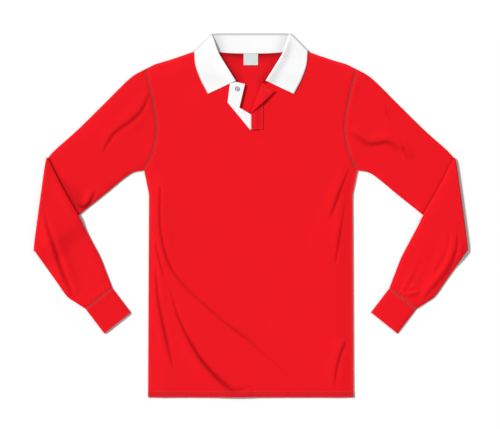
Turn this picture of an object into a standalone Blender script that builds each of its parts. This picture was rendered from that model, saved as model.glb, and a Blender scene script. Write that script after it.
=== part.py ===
"""Long-sleeved football shirt with a fold-over collar and an open button placket, laid flat, front side up.

The scene is in metres, +Z up. The shirt lies on the plane Z = 0 with its neck towards +Y, and X = 0 is its
centre line. The sizes and tables below are in millimetres of the real shirt, and MM turns them into metres when
a mesh is made. Tables give the +X half, and the other half is its mirror image.
"""

from math import cos, pi, sin
from typing import NamedTuple

import bmesh
import bpy
from mathutils import Vector

MM = 0.001

# Cloth
WALL = 1.2             # thickness of the jersey and of the collar cloth
GAP = 0.3              # air between two pieces that touch
LOFT = 1.8             # extra air between front and back, away from the seams
LOFT_RUN = 34.0        # distance from a seam at which the front has risen to its full height
HEM_DROP = 0.45        # share of the loft that is lost at the hem
HEM_RUN = 60.0

# Body, half of it
HEM_Y = -400.0
HEM_HALF = 226.0
CHEST_HALF = 223.7
CHEST_Y = 45.1
UNDERARM = (234.7, 99.2)
SLIT_END_Y = 192.0

# Underarm to shoulder tip
ARMHOLE = (
    # x, y
    UNDERARM,
    (220.4, 125.4),
    (212.1, 151.8),
    (207.2, 182.6),
    (208.6, 213.8),
    (215.6, 251.9),
    (224.0, 290.0),
    (232.3, 321.0),
)

# Neck to shoulder tip, after the point where the neck seam meets the shoulder
SHOULDER = (
    # x, y
    (123.6, 359.8),
    (128.6, 358.2),
    (155.0, 348.9),
    (182.4, 340.1),
    (211.0, 331.8),
    ARMHOLE[-1],
)

# Edges of the front's slit, from its lower end up to the neck seam
SLIT_EDGE_RIGHT = (
    # x, y
    (0.0, SLIT_END_Y),
    (2.5, 221.0),
    (29.0, 284.0),
)
SLIT_EDGE_LEFT = (
    # x, y
    (0.0, SLIT_END_Y),
    (-14.0, 212.0),
    (-36.0, 245.0),
    (-38.0, 284.0),
)

# Collar: where it rolls over, where its outer edge lies, and how far the stand reaches back to the neck seam
COLLAR_FRONT = (
    # roll x, roll y, edge x, edge y, stand
    (34.4, 294.8, 94.6, 266.6, 6.0),
    (52.6, 323.9, 102.5, 281.8, 14.0),
    (70.0, 353.1, 110.4, 297.0, 24.0),
    (79.9, 378.8, 121.7, 328.5, 31.0),
    (86.7, 397.6, 124.7, 360.1, 36.0),
)
COLLAR_BACK = (
    # roll x, roll y, edge x, edge y, stand
    COLLAR_FRONT[-1],
    (76.0, 398.6, 104.0, 345.0, 40.0),
    (58.0, 398.65, 76.0, 343.0, 42.0),
    (35.0, 398.65, 43.0, 342.5, 43.0),
    (0.0, 398.65, 0.0, 342.5, 43.35),
)
COLLAR_SPANS = 7       # rungs along each half of the front collar, and of the back collar
CREASE_TURNS = 6       # steps in which the collar turns from front to back at the side of the neck

# Heights at the neck, where the back lies on the collar's back fall
NECK_LIFT = WALL + GAP
LIFT_Y = (285.0, 315.0)
LIFT_X = (150.0, 190.0)
NECK_MIDDLE = NECK_LIFT + WALL + GAP / 2
STAND_OFFSET = (WALL + GAP) / 2
FALL_OFFSET = 3 * STAND_OFFSET

# Sleeve, flat: outer edge down to the elbow, then the edges of the forearm, which lies folded back on top
SLEEVE_TOP = (
    # x, y
    (265.8, 300.7),
    (323.4, 244.1),
    (381.0, 187.4),
    (430.0, 143.8),
)
ELBOW_TOP = (450.3, 126.9)
ELBOW_LOW = (478.5, -78.8)
SLEEVE_UNDER = (
    # x, y
    (266.2, 90.2),
    (322.2, 45.3),
    (378.2, 0.4),
    (430.0, -41.2),
)
FOREARM_INNER = (
    # x, y
    (414.2, 63.7),
    (378.2, 0.4),
    (366.3, -24.6),
    (348.6, -58.5),
    (330.9, -92.4),
    (317.6, -126.0),
)
FOREARM_OUTER = (
    # x, y
    (448.8, -115.9),
    (426.7, -147.0),
    (404.6, -178.0),
    (384.1, -192.7),
)
CUFF_INNER = (304.5, -160.2)
CUFF_OUTER = (363.4, -205.9)
CUFF_END_INNER = (263.8, -213.8)
CUFF_END_OUTER = (322.1, -260.5)
SLEEVE_HALF = 2.25     # half the height of the flattened sleeve
EDGE_POWER = 8         # how square the flattened sleeve is at its two edges
UPPER_SPANS = 9
FOREARM_SPANS = 11
CUFF_SPANS = 3
ELBOW_TURNS = 6
FOREARM_DESCENT = 38.0  # run in which the forearm comes down from the upper arm to the surface

# Share of the way across a flattened sleeve at which its rings have points
ACROSS = (0.0, 0.012, 0.045, 0.125, 0.25, 0.375, 0.5, 0.625, 0.75, 0.875, 0.955, 0.988, 1.0)
ARMHOLE_SPANS = 8

# Grids of the panels
FRONT_SIDE_SPANS = 26
FRONT_CENTRE_SPANS = 29
BACK_SIDE_SPANS = 8

# Under placket, turned outwards, and the over placket as it is cut
PLACKET_UNDER = (
    # x, y
    (-31.0, 292.3),
    (-34.8, 293.9),
    (-45.8, 288.8),
    (-50.8, 247.5),
    (-1.8, 188.1),
    (8.0, 188.1),
    (8.0, 217.0),
    (0.7, 220.7),
    (-25.1, 236.3),
    (-12.8, 288.0),
)
PLACKET_FRONT_X = 0.7
PLACKET_SEAM_X = 26.6
PLACKET_LOW_Y = 188.1
FLAP_LOW = (PLACKET_FRONT_X, 220.7)
FLAP_HIGH = (PLACKET_SEAM_X, 290.2)
FLAP_TIP = (53.5, 272.4)
FLAP_TURNS = 4
OVER_STEP = (9.5, 19.0)  # x between which the over placket comes down from the under placket to the front

# Small parts
BUTTON_AT = (-30.4, 277.9)
BUTTON_RADIUS = 5.2
BUTTON_HEIGHT = 2.4
BUTTON_RIM = 1.1
BUTTON_DISH = 0.7
BUTTON_HOLE_RADIUS = 0.7
BUTTON_HOLE_SPREAD = 1.25
BUTTON_SIDES = 24
LABEL_HALF = 15.7
LABEL_Y = (329.6, 354.6)
LABEL_WALL = 1.0


class Fold(NamedTuple):
    """A soft ridge in the front: the points that it runs through, its half width and its height."""

    points: tuple
    half_width: float
    height: float


FOLDS = (
    # points (x, y), half width, height
    Fold(((-197.0, 44.0), (-195.0, -41.0), (-167.0, -129.0), (-85.0, -211.0), (-5.0, -275.0), (74.0, -343.0)),
         22.0, 1.4),
    Fold(((-180.0, -165.0), (-157.0, -233.0), (-108.0, -319.0), (-53.0, -374.0)), 20.0, 1.5),
    Fold(((206.0, 80.0), (178.0, 0.0), (187.0, -98.0)), 20.0, 1.4),
    Fold(((208.0, -285.0), (188.0, -330.0), (184.0, -372.0)), 18.0, 1.2),
)

RED = (0.84, 0.016, 0.022, 1.0)
DARK_RED = (0.62, 0.012, 0.017, 1.0)
WHITE = (0.88, 0.88, 0.88, 1.0)
LABEL_WHITE = (0.77, 0.82, 0.82, 1.0)
BUTTON_GREY = (0.55, 0.55, 0.56, 1.0)
CLOTH_ROUGHNESS = 0.85
BUTTON_ROUGHNESS = 0.4


def smooth(value):
    """Ease from 0 to 1."""
    t = min(max(value, 0.0), 1.0)
    return t * t * (3 - 2 * t)


def round_rows(rows, spans):
    """Rows at even steps along a round curve through the given rows."""
    given = [Vector(row) for row in rows]
    padded = [2 * given[0] - given[1], *given, 2 * given[-1] - given[-2]]
    result = []
    for step in range(spans + 1):
        place = step / spans * (len(given) - 1)
        k = min(int(place), len(given) - 2)
        t = place - k
        a, b, c, d = padded[k:k + 4]
        bend = (2 * a - 5 * b + 4 * c - d) * t + (3 * b - a - 3 * c + d) * t * t
        result.append(b + ((c - a) + bend) * t / 2)
    return result


def even_points(points, spans):
    """Points at even distances along the straight runs between points."""
    run = [Vector(p) for p in points]
    lengths = [(b - a).length for a, b in zip(run, run[1:])]
    result = []
    for step in range(spans + 1):
        left = step / spans * sum(lengths)
        k = 0
        while k < len(lengths) - 1 and left > lengths[k]:
            left -= lengths[k]
            k += 1
        result.append(run[k].lerp(run[k + 1], min(left / lengths[k], 1.0)))
    return result


def round_points(rows, spans):
    """Points at even distances along a round curve through the rows."""
    return even_points(round_rows(rows, 12 * len(rows)), spans)


def point_on(points, share):
    """Point at a share of the way along evenly spaced points."""
    place = share * (len(points) - 1)
    k = min(int(place), len(points) - 2)
    return points[k].lerp(points[k + 1], place - k)


def distance_to(run, x, y):
    """Distance from a point to a run of points, and the share of the run at the nearest place."""
    here = Vector((x, y))
    nearest = (float("inf"), 0.0)
    for k, (a, b) in enumerate(zip(run, run[1:])):
        along = b - a
        share = min(max((here - a).dot(along) / along.length_squared, 0.0), 1.0)
        gap = (here - a - along * share).length
        if gap < nearest[0]:
            nearest = (gap, (k + share) / (len(run) - 1))
    return nearest


def patch(low, high, left, right):
    """Grid of points that fills four edges: low and high run left to right, left and right run upwards."""
    columns = len(low) - 1
    rows = len(left) - 1
    grid = []
    for j in range(rows + 1):
        v = j / rows
        row = []
        for i in range(columns + 1):
            u = i / columns
            ruled = (1 - v) * low[i] + v * high[i] + (1 - u) * left[j] + u * right[j]
            corners = (1 - u) * ((1 - v) * low[0] + v * high[0]) + u * ((1 - v) * low[-1] + v * high[-1])
            row.append(ruled - corners)
        grid.append(row)
    return grid


ARMHOLE_POINTS = round_points(ARMHOLE, ARMHOLE_SPANS)
SIDE_POINTS = [Vector((HEM_HALF, HEM_Y)), Vector((CHEST_HALF, CHEST_Y)), Vector(UNDERARM)]
FRONT_RUNGS = round_rows(COLLAR_FRONT, COLLAR_SPANS)
BACK_RUNGS = round_rows(COLLAR_BACK, COLLAR_SPANS)


def seam_point(rung):
    """Point of the body's neck edge, just beyond the end of the collar stand."""
    roll = Vector(rung[0:2])
    along = (Vector(rung[2:4]) - roll).normalized()
    inward = Vector((along.y, -along.x))
    return roll + along * (rung[4] + GAP) + inward * GAP


SHOULDER_POINTS = [seam_point(FRONT_RUNGS[-1])] + [Vector(p) for p in SHOULDER]
CLOSED_EDGES = (
    [Vector(COLLAR_FRONT[-1][0:2])] + SHOULDER_POINTS,
    SIDE_POINTS,
)
FOLD_RUNS = [(round_points(fold.points, 10), fold) for fold in FOLDS]


def back_middle(x, y):
    """Height of the middle of the back's wall."""
    lift = smooth((y - LIFT_Y[0]) / (LIFT_Y[1] - LIFT_Y[0]))
    lift *= smooth((LIFT_X[1] - abs(x)) / (LIFT_X[1] - LIFT_X[0]))
    return WALL / 2 + NECK_LIFT * lift


def fold_height(x, y):
    """Height of the soft ridges of the front at one place."""
    height = 0.0
    for run, fold in FOLD_RUNS:
        gap, share = distance_to(run, x, y)
        if gap < fold.half_width:
            height = max(height, fold.height * smooth(1 - gap / fold.half_width) * sin(pi * share) ** 0.5)
    return height


def front_middle(x, y):
    """Height of the middle of the front's wall: close to the back at its seams, and lofted between them."""
    edge = min(distance_to(run, abs(x), y)[0] for run in CLOSED_EDGES)
    rise = smooth(edge / LOFT_RUN)
    hem = 1 - HEM_DROP * (1 - smooth((y - HEM_Y) / HEM_RUN))
    return back_middle(x, y) + WALL + GAP + rise * (LOFT * hem + fold_height(x, y))


def above_front(x, y, layers):
    """Height of the middle of a piece that lies on the front with this many layers between."""
    return front_middle(x, y) + (layers + 1) * (WALL + GAP)


def finish(name, bm, colour, roughness=CLOTH_ROUGHNESS):
    """Turn a mesh in millimetres into a named object in metres with its own material."""
    bmesh.ops.recalc_face_normals(bm, faces=bm.faces)
    bmesh.ops.scale(bm, vec=(MM, MM, MM), verts=bm.verts)
    mesh = bpy.data.meshes.new(name)
    bm.to_mesh(mesh)
    bm.free()
    mesh.shade_smooth()
    mesh.set_sharp_from_angle(angle=pi / 5)
    material = bpy.data.materials.new(name + "_finish")
    material.use_nodes = True
    shader = material.node_tree.nodes["Principled BSDF"]
    shader.inputs["Base Color"].default_value = colour
    shader.inputs["Roughness"].default_value = roughness
    shader.inputs["Metallic"].default_value = 0.0
    material.diffuse_color = colour
    mesh.materials.append(material)
    part = bpy.data.objects.new(name, mesh)
    bpy.context.collection.objects.link(part)
    return part


def mirrored(points, side):
    """Points of the +X half, or their mirror images for the other half."""
    return [Vector((side * p[0], *p[1:])) for p in points]


def wall_between(outer, inner, ring=False):
    """Closed wall between two grids of points. In a ring the last column joins the first."""
    bm = bmesh.new()
    columns = len(outer[0])
    rows = len(outer)
    over = [[bm.verts.new(p) for p in row] for row in outer]
    under = [[bm.verts.new(p) for p in row] for row in inner]
    spans = columns if ring else columns - 1
    for j in range(rows - 1):
        for i in range(spans):
            k = (i + 1) % columns
            bm.faces.new((over[j][i], over[j][k], over[j + 1][k], over[j + 1][i]))
            bm.faces.new((under[j][i], under[j + 1][i], under[j + 1][k], under[j][k]))
    for i in range(spans):
        k = (i + 1) % columns
        bm.faces.new((over[0][i], under[0][i], under[0][k], over[0][k]))
        bm.faces.new((over[-1][i], over[-1][k], under[-1][k], under[-1][i]))
    if not ring:
        for j in range(rows - 1):
            bm.faces.new((over[j][0], over[j + 1][0], under[j + 1][0], under[j][0]))
            bm.faces.new((over[j][-1], under[j][-1], under[j + 1][-1], over[j + 1][-1]))
    return bm


def flat_sheet(grids):
    """Flat pattern sheet of one or more grids of points, joined where they share points."""
    sheet = bmesh.new()
    for grid in grids:
        rows = [[sheet.verts.new((p.x, p.y, 0)) for p in row] for row in grid]
        for low, high in zip(rows, rows[1:]):
            for i in range(len(low) - 1):
                sheet.faces.new((low[i], low[i + 1], high[i + 1], high[i]))
    bmesh.ops.remove_doubles(sheet, verts=sheet.verts, dist=0.001)
    bmesh.ops.recalc_face_normals(sheet, faces=sheet.faces)
    return sheet


def flat_piece(outline, cuts):
    """Flat pattern piece inside an outline, cut along lines that are given by a point and a normal."""
    sheet = bmesh.new()
    sheet.faces.new([sheet.verts.new((p[0], p[1], 0)) for p in outline])
    for point, normal in cuts:
        everything = sheet.verts[:] + sheet.edges[:] + sheet.faces[:]
        bmesh.ops.bisect_plane(sheet, geom=everything, dist=0.001, plane_co=(*point, 0), plane_no=(*normal, 0))
    return sheet


def thicken(sheet, place, wall=WALL):
    """Closed wall on both sides of a flat sheet. place gives a point's position and normal on the shirt."""
    bm = bmesh.new()
    bmesh.ops.triangulate(sheet, faces=sheet.faces)
    sheet.verts.index_update()
    over = []
    under = []
    for vert in sheet.verts:
        position, normal = place(vert.co.x, vert.co.y)
        over.append(bm.verts.new(position + normal * wall / 2))
        under.append(bm.verts.new(position - normal * wall / 2))
    for face in sheet.faces:
        ids = [v.index for v in face.verts]
        bm.faces.new([over[i] for i in ids])
        bm.faces.new([under[i] for i in reversed(ids)])
    for edge in sheet.edges:
        if edge.is_boundary:
            a, b = (v.index for v in edge.verts)
            bm.faces.new((over[a], over[b], under[b], under[a]))
    sheet.free()
    return bm


def at_height(height):
    """Placing of a sheet that lies level at a height that depends on x and y."""
    def place(x, y):
        return Vector((x, y, height(x, y))), Vector((0, 0, 1))
    return place


def panel_grid(side, centre, neck, side_spans):
    """Half of a body panel: hem, centre edge, neck and shoulder, side seam and armhole."""
    top = mirrored(neck + SHOULDER_POINTS[1:], side)
    hem = even_points(((0.0, HEM_Y), (side * HEM_HALF, HEM_Y)), len(top) - 1)
    flank = even_points(SIDE_POINTS, side_spans)[:-1] + ARMHOLE_POINTS
    return patch(hem, top, centre, mirrored(flank, side))


def make_back():
    neck = [seam_point(rung) for rung in reversed(BACK_RUNGS)]
    neck[-1] = SHOULDER_POINTS[0]
    low = even_points(((0.0, HEM_Y), (0.0, UNDERARM[1])), BACK_SIDE_SPANS)
    high = even_points(((0.0, UNDERARM[1]), (0.0, neck[0].y)), ARMHOLE_SPANS)
    grids = [panel_grid(side, low[:-1] + high, neck, BACK_SIDE_SPANS) for side in (1, -1)]
    finish("back", thicken(flat_sheet(grids), at_height(back_middle)), DARK_RED)


def make_front():
    neck = [seam_point(rung) for rung in FRONT_RUNGS]
    low = even_points(((0.0, HEM_Y), (0.0, SLIT_END_Y)), FRONT_CENTRE_SPANS)
    slit_spans = FRONT_SIDE_SPANS + ARMHOLE_SPANS - FRONT_CENTRE_SPANS
    grids = []
    for side, slit in ((1, SLIT_EDGE_RIGHT), (-1, SLIT_EDGE_LEFT)):
        corner = mirrored(neck[:1], side)
        edge = even_points([*slit, *corner], slit_spans)
        grids.append(panel_grid(side, low[:-1] + edge, neck, FRONT_SIDE_SPANS))
    finish("front", thicken(flat_sheet(grids), at_height(front_middle)), RED)


def collar_section(rung, side, turn):
    """Outer and inner points of the folded collar at one rung, turned about its length from front to back."""
    roll = Vector(rung[0:2])
    edge = Vector(rung[2:4])
    along = (edge - roll).normalized()
    outward = Vector((-along.y, along.x))
    middle = (STAND_OFFSET + FALL_OFFSET) / 2
    half = (FALL_OFFSET - STAND_OFFSET) / 2

    def place(distance, offset):
        flat = roll + along * distance
        front = front_middle(flat.x, flat.y) - STAND_OFFSET
        level = front + (NECK_MIDDLE - front) * (1 - cos(turn)) / 2
        flat += outward * offset * sin(turn)
        return Vector((side * flat.x, flat.y, level + offset * cos(turn)))

    sections = []
    for skin in (WALL / 2, -WALL / 2):
        points = [place(rung[4] * share, STAND_OFFSET - skin) for share in (1.0, 0.5, 0.0)]
        for step in (1, 2, 3):
            angle = pi * step / 4
            radius = half + skin
            points.append(place(-radius * sin(angle), middle - radius * cos(angle)))
        fall = (edge - roll).length
        points += [place(fall * share, FALL_OFFSET + skin) for share in (0.0, 0.25, 0.5, 0.75, 1.0)]
        sections.append(points)
    return sections


def make_collar():
    half = [(rung, 0.0) for rung in FRONT_RUNGS]
    half += [(FRONT_RUNGS[-1], pi * step / CREASE_TURNS) for step in range(1, CREASE_TURNS)]
    half += [(rung, pi) for rung in BACK_RUNGS]
    right = [collar_section(rung, 1, turn) for rung, turn in half]
    left = [collar_section(rung, -1, turn) for rung, turn in reversed(half[:-1])]
    sections = right + left
    outer = [section[0] for section in sections]
    inner = [section[1] for section in sections]
    finish("collar", wall_between(outer, inner), WHITE)


def sleeve_thickness(share, half):
    """Half height of the flattened sleeve at a share of the way across."""
    return half * (1 - abs(2 * share - 1) ** EDGE_POWER) ** 0.5


def flat_ring(line, place):
    """Outer and inner ring of a flattened tube. line gives its flat points, and place their height."""
    rings = []
    for wall in (0.0, WALL):
        length = (line(1.0) - line(0.0)).length
        squeeze = 1 - 2 * wall / length
        ring = []
        for side in (1, -1):
            shares = ACROSS if side > 0 else ACROSS[-2:0:-1]
            for share in shares:
                flat = line(0.5 + (share - 0.5) * squeeze)
                ring.append(place(flat, side * sleeve_thickness(share, SLEEVE_HALF - wall)))
        rings.append(ring)
    return rings


def forearm_level(flat, under_edge):
    """Height of the forearm's middle: on the upper arm, and down to the surface beyond its lower edge."""
    start, end = under_edge
    normal = Vector((end.y - start.y, start.x - end.x)).normalized()
    beyond = (flat - start).dot(normal)
    high = 3 * SLEEVE_HALF + GAP
    return high - (high - SLEEVE_HALF) * smooth((beyond - 2.0) / FOREARM_DESCENT)


def make_sleeve(name, side):
    outward = Vector((ELBOW_TOP[1] - ELBOW_LOW[1], ELBOW_LOW[0] - ELBOW_TOP[0])).normalized()
    radius = SLEEVE_HALF + GAP / 2
    reach = radius + SLEEVE_HALF
    axis_top = Vector(ELBOW_TOP) - outward * reach
    axis_low = Vector(ELBOW_LOW) - outward * reach
    axis = even_points((axis_top, axis_low), ARMHOLE_SPANS)
    armhole = [p + Vector((GAP * 4 / 3, 0)) for p in reversed(ARMHOLE_POINTS)]
    top = round_points((armhole[0], *SLEEVE_TOP, axis_top), UPPER_SPANS)
    under = round_points((armhole[-1], *SLEEVE_UNDER, axis_low), UPPER_SPANS)
    upper = patch(armhole, axis, top, under)
    cuff = even_points((CUFF_INNER, CUFF_OUTER), ARMHOLE_SPANS)
    inner_edge = round_points((axis_top, *FOREARM_INNER, CUFF_INNER), FOREARM_SPANS)
    outer_edge = round_points((axis_low, *FOREARM_OUTER, CUFF_OUTER), FOREARM_SPANS)
    forearm = patch(axis, cuff, inner_edge, outer_edge)
    under_edge = (Vector(SLEEVE_UNDER[0]), axis_low)

    def on_surface(flat, offset):
        return Vector((side * flat.x, flat.y, SLEEVE_HALF - offset))

    def on_upper_arm(flat, offset):
        return Vector((side * flat.x, flat.y, forearm_level(flat, under_edge) + offset))

    rings = [flat_ring(lambda s, r=row: point_on(r, s), on_surface) for row in upper]
    for step in range(1, ELBOW_TURNS):
        angle = pi * step / ELBOW_TURNS

        def round_elbow(flat, offset, angle=angle):
            spot = flat + outward * (radius + offset) * sin(angle)
            return Vector((side * spot.x, spot.y, SLEEVE_HALF + radius - (radius + offset) * cos(angle)))

        rings.append(flat_ring(lambda s: point_on(axis, s), round_elbow))
    rings += [flat_ring(lambda s, r=row: point_on(r, s), on_upper_arm) for row in forearm]
    bm = wall_between([ring[0] for ring in rings], [ring[1] for ring in rings], ring=True)
    finish(name, bm, RED)


def make_cuff(name, side):
    down = (Vector(CUFF_END_INNER) - Vector(CUFF_INNER)).normalized()
    start = (Vector(CUFF_INNER) + down * GAP, Vector(CUFF_OUTER) + down * GAP)
    end = (Vector(CUFF_END_INNER), Vector(CUFF_END_OUTER))

    def on_surface(flat, offset):
        return Vector((side * flat.x, flat.y, SLEEVE_HALF + offset))

    rings = []
    for step in range(CUFF_SPANS + 1):
        share = step / CUFF_SPANS
        line = [a.lerp(b, share) for a, b in zip(start, end)]
        rings.append(flat_ring(lambda s, r=line: point_on(r, s), on_surface))
    bm = wall_between([ring[0] for ring in rings], [ring[1] for ring in rings], ring=True)
    finish(name, bm, RED)


def make_under_placket():
    cuts = [((0, y), (0, 1)) for y in (205.0, 225.0, 247.5, 268.0)]
    sheet = flat_piece(PLACKET_UNDER, cuts)
    finish("placket_under", thicken(sheet, at_height(lambda x, y: above_front(x, y, 0))), WHITE)


def make_over_placket():
    low = Vector(FLAP_LOW)
    fold = (Vector(FLAP_HIGH) - low).normalized()
    beyond = Vector((-fold.y, fold.x))
    radius = (WALL + GAP) / 2
    arc = pi * radius
    tip = Vector(FLAP_TIP) - low
    cut_tip = low + fold * tip.dot(fold) + beyond * (arc - tip.dot(beyond))
    outline = ((PLACKET_FRONT_X, PLACKET_LOW_Y), (PLACKET_SEAM_X, PLACKET_LOW_Y), FLAP_HIGH, cut_tip, FLAP_LOW)
    cuts = [(low + beyond * arc * step / FLAP_TURNS, beyond) for step in range(FLAP_TURNS + 1)]
    cuts += [((x, 0), (1, 0)) for x in OVER_STEP]
    cuts += [((0, y), (0, 1)) for y in (205.0, FLAP_LOW[1], 245.0, 268.0)]

    def level(x, y):
        step = smooth((x - OVER_STEP[0]) / (OVER_STEP[1] - OVER_STEP[0]))
        return above_front(x, y, 1) - step * (WALL + GAP)

    def place(x, y):
        spot = Vector((x, y))
        across = (spot - low).dot(beyond)
        if across <= 0:
            return Vector((x, y, level(x, y))), Vector((0, 0, 1))
        crease = spot - beyond * across
        angle = min(across / radius, pi)
        flat = crease + beyond * (radius * sin(angle) - max(across - arc, 0.0))
        height = level(crease.x, crease.y) + radius * (1 - cos(angle))
        return Vector((*flat, height)), Vector((*(-sin(angle) * beyond), cos(angle)))

    finish("placket_over", thicken(flat_piece(outline, cuts), place), RED)


def make_button():
    x, y = BUTTON_AT
    base = max(above_front(x + dx, y, 0) for dx in (-BUTTON_RADIUS, 0, BUTTON_RADIUS)) + WALL / 2 + GAP
    profile = (
        # radius, height above the placket
        (0.0, 0.0),
        (BUTTON_RADIUS - 0.5, 0.0),
        (BUTTON_RADIUS, 0.5),
        (BUTTON_RADIUS, BUTTON_HEIGHT - 0.5),
        (BUTTON_RADIUS - 0.5, BUTTON_HEIGHT),
        (BUTTON_RADIUS - BUTTON_RIM, BUTTON_HEIGHT),
        (BUTTON_RADIUS - BUTTON_RIM - 0.6, BUTTON_HEIGHT - BUTTON_DISH),
        (0.0, BUTTON_HEIGHT - BUTTON_DISH),
    )
    bm = bmesh.new()
    verts = [bm.verts.new((radius, 0, height)) for radius, height in profile]
    edges = [bm.edges.new(pair) for pair in zip(verts, verts[1:])]
    bmesh.ops.spin(bm, geom=verts + edges, axis=(0, 0, 1), cent=(0, 0, 0), angle=2 * pi, steps=BUTTON_SIDES)
    bmesh.ops.remove_doubles(bm, verts=bm.verts, dist=0.01)
    bmesh.ops.translate(bm, verts=bm.verts, vec=(x, y, base))
    button = finish("button", bm, BUTTON_GREY, BUTTON_ROUGHNESS)

    holes = bmesh.new()
    for sign_x, sign_y in ((1, 1), (1, -1), (-1, 1), (-1, -1)):
        made = bmesh.ops.create_cone(holes, cap_ends=True, segments=8, radius1=BUTTON_HOLE_RADIUS,
                                     radius2=BUTTON_HOLE_RADIUS, depth=4 * BUTTON_HEIGHT)
        spot = (x + sign_x * BUTTON_HOLE_SPREAD, y + sign_y * BUTTON_HOLE_SPREAD, base)
        bmesh.ops.translate(holes, verts=made["verts"], vec=spot)
    cutter = finish("button_holes", holes, BUTTON_GREY)
    cutter.hide_render = True
    cutter.display_type = "WIRE"
    cut = button.modifiers.new("thread_holes", "BOOLEAN")
    cut.object = cutter
    cut.operation = "DIFFERENCE"


def make_label():
    low, high = LABEL_Y
    outline = ((-LABEL_HALF, low), (LABEL_HALF, low), (LABEL_HALF, high), (-LABEL_HALF, high))

    def level(x, y):
        return back_middle(x, y) + WALL / 2 + GAP + LABEL_WALL / 2

    finish("neck_label", thicken(flat_piece(outline, ()), at_height(level), LABEL_WALL), LABEL_WHITE)


def main():
    for old in list(bpy.data.objects):
        bpy.data.objects.remove(old)
    make_back()
    make_front()
    make_collar()
    for side, word in ((1, "right"), (-1, "left")):
        make_sleeve("sleeve_" + word, side)
        make_cuff("cuff_" + word, side)
    make_under_placket()
    make_over_placket()
    make_button()
    make_label()


main()
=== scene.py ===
"""Looks of a long-sleeved football shirt that lies flat: cloth, collar, plackets, seams and stitches.

Sizes and tables are in millimetres of the real shirt, in the frame of the solids: +Z up from the surface, +Y
towards the neck. MM turns them into metres when a mesh is made. Creases are placed by the photo's pixels.
"""

from math import cos, log, pi, radians, sin
from typing import NamedTuple

import bmesh
import bpy
import numpy as np
from bpy.props import FloatProperty, FloatVectorProperty, IntProperty, PointerProperty
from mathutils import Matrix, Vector


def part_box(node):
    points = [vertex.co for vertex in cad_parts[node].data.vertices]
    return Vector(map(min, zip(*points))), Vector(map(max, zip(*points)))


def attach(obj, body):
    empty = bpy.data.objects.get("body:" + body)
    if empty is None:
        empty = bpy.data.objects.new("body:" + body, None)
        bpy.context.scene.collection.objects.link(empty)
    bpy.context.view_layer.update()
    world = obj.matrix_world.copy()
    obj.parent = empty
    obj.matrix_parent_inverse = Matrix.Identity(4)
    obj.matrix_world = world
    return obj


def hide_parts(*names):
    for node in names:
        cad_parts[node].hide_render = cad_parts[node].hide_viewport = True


bl_info = {
    "name": "Football shirt",
    "version": (1, 0, 0),
    "blender": (4, 5, 0),
    "location": "3D View > Sidebar > Shirt",
    "description": "Builds the cloth, seams and stitches of a football shirt that lies flat",
    "category": "Add Mesh",
}

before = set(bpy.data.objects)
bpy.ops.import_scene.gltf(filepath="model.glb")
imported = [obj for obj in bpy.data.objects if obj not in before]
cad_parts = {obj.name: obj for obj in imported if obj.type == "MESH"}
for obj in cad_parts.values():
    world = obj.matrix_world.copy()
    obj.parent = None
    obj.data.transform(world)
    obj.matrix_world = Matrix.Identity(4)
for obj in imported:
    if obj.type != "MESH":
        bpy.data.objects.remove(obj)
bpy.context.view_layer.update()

MM = 0.001
SHARP_EDGE = radians(50)        # edges that bend more than this are shaded sharp
PIXEL = 2.2                     # millimetres of shirt in one pixel of the photo
PHOTO_MIDDLE = (250.8, 215.2)   # the pixel that the shirt's frame has its origin at
PHOTO_SIZE = (500, 429)

# Cloth
GAP = 0.3              # air between two pieces that touch
LOFT = 1.8             # extra air between front and back, away from the seams
LOFT_RUN = 34.0        # distance from a seam at which the front has risen to its full height
EDGE_RUN = 14.0        # distance from a seam at which the creases have their full height
HEM_DROP = 0.45        # share of the loft that is lost at the hem
HEM_RUN = 60.0
WEAR_RUN = 3.0         # how far from a seam the cloth is rubbed
HEM_WEAR_RUN = 2.5

# Body, half of it
HEM_Y = -400.0
HEM_HALF = 226.0
CHEST = (223.7, 45.1)
UNDERARM = (234.7, 99.2)
SLIT_END_Y = 192.0
SHOULDER_TIP = (232.3, 321.0)
ARMHOLE = (
    # x, y, from the underarm up
    UNDERARM,
    (220.4, 125.4),
    (212.1, 151.8),
    (207.2, 182.6),
    (208.6, 213.8),
    (215.6, 251.9),
    (224.0, 290.0),
    SHOULDER_TIP,
)
ARMHOLE_LENGTH = 240.0
SHOULDER = (
    # x, y, from the neck out
    (123.6, 359.8),
    (128.6, 358.2),
    (155.0, 348.9),
    (182.4, 340.1),
    (211.0, 331.8),
    SHOULDER_TIP,
)
SLIT_EDGE_RIGHT = (
    # x, y
    (0.0, SLIT_END_Y),
    (2.5, 221.0),
    (29.0, 284.0),
)
SLIT_EDGE_LEFT = (
    # x, y
    (0.0, SLIT_END_Y),
    (-14.0, 212.0),
    (-36.0, 245.0),
    (-38.0, 284.0),
)

# Collar: where it rolls over, where its outer edge lies, and how far the stand reaches back to the neck seam
COLLAR_FRONT = (
    # roll x, roll y, edge x, edge y, stand
    (34.4, 294.8, 94.6, 266.6, 6.0),
    (52.6, 323.9, 102.5, 281.8, 14.0),
    (70.0, 353.1, 110.4, 297.0, 24.0),
    (79.9, 378.8, 121.7, 328.5, 31.0),
    (86.7, 397.6, 124.7, 360.1, 36.0),
)
COLLAR_BACK = (
    # roll x, roll y, edge x, edge y, stand
    COLLAR_FRONT[-1],
    (76.0, 398.6, 104.0, 345.0, 40.0),
    (58.0, 398.65, 76.0, 343.0, 42.0),
    (35.0, 398.65, 43.0, 342.5, 43.0),
    (0.0, 398.65, 0.0, 342.5, 43.35),
)
COLLAR_SPANS = 56
COLLAR_TURNS = 16
COLLAR_DEPTH = 100.0        # stand and fall together, for the lie of the cloth
COLLAR_ROLL = 3.0           # how far the cloth stands up where it rolls over
COLLAR_ROLL_RUN = 12.0
COLLAR_ROLL_SHARE = 0.6     # share of the front's length over which it stands up in full
STAND_SPANS = 8
ROLL_SPANS = 8
FALL_SPANS = 24
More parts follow.
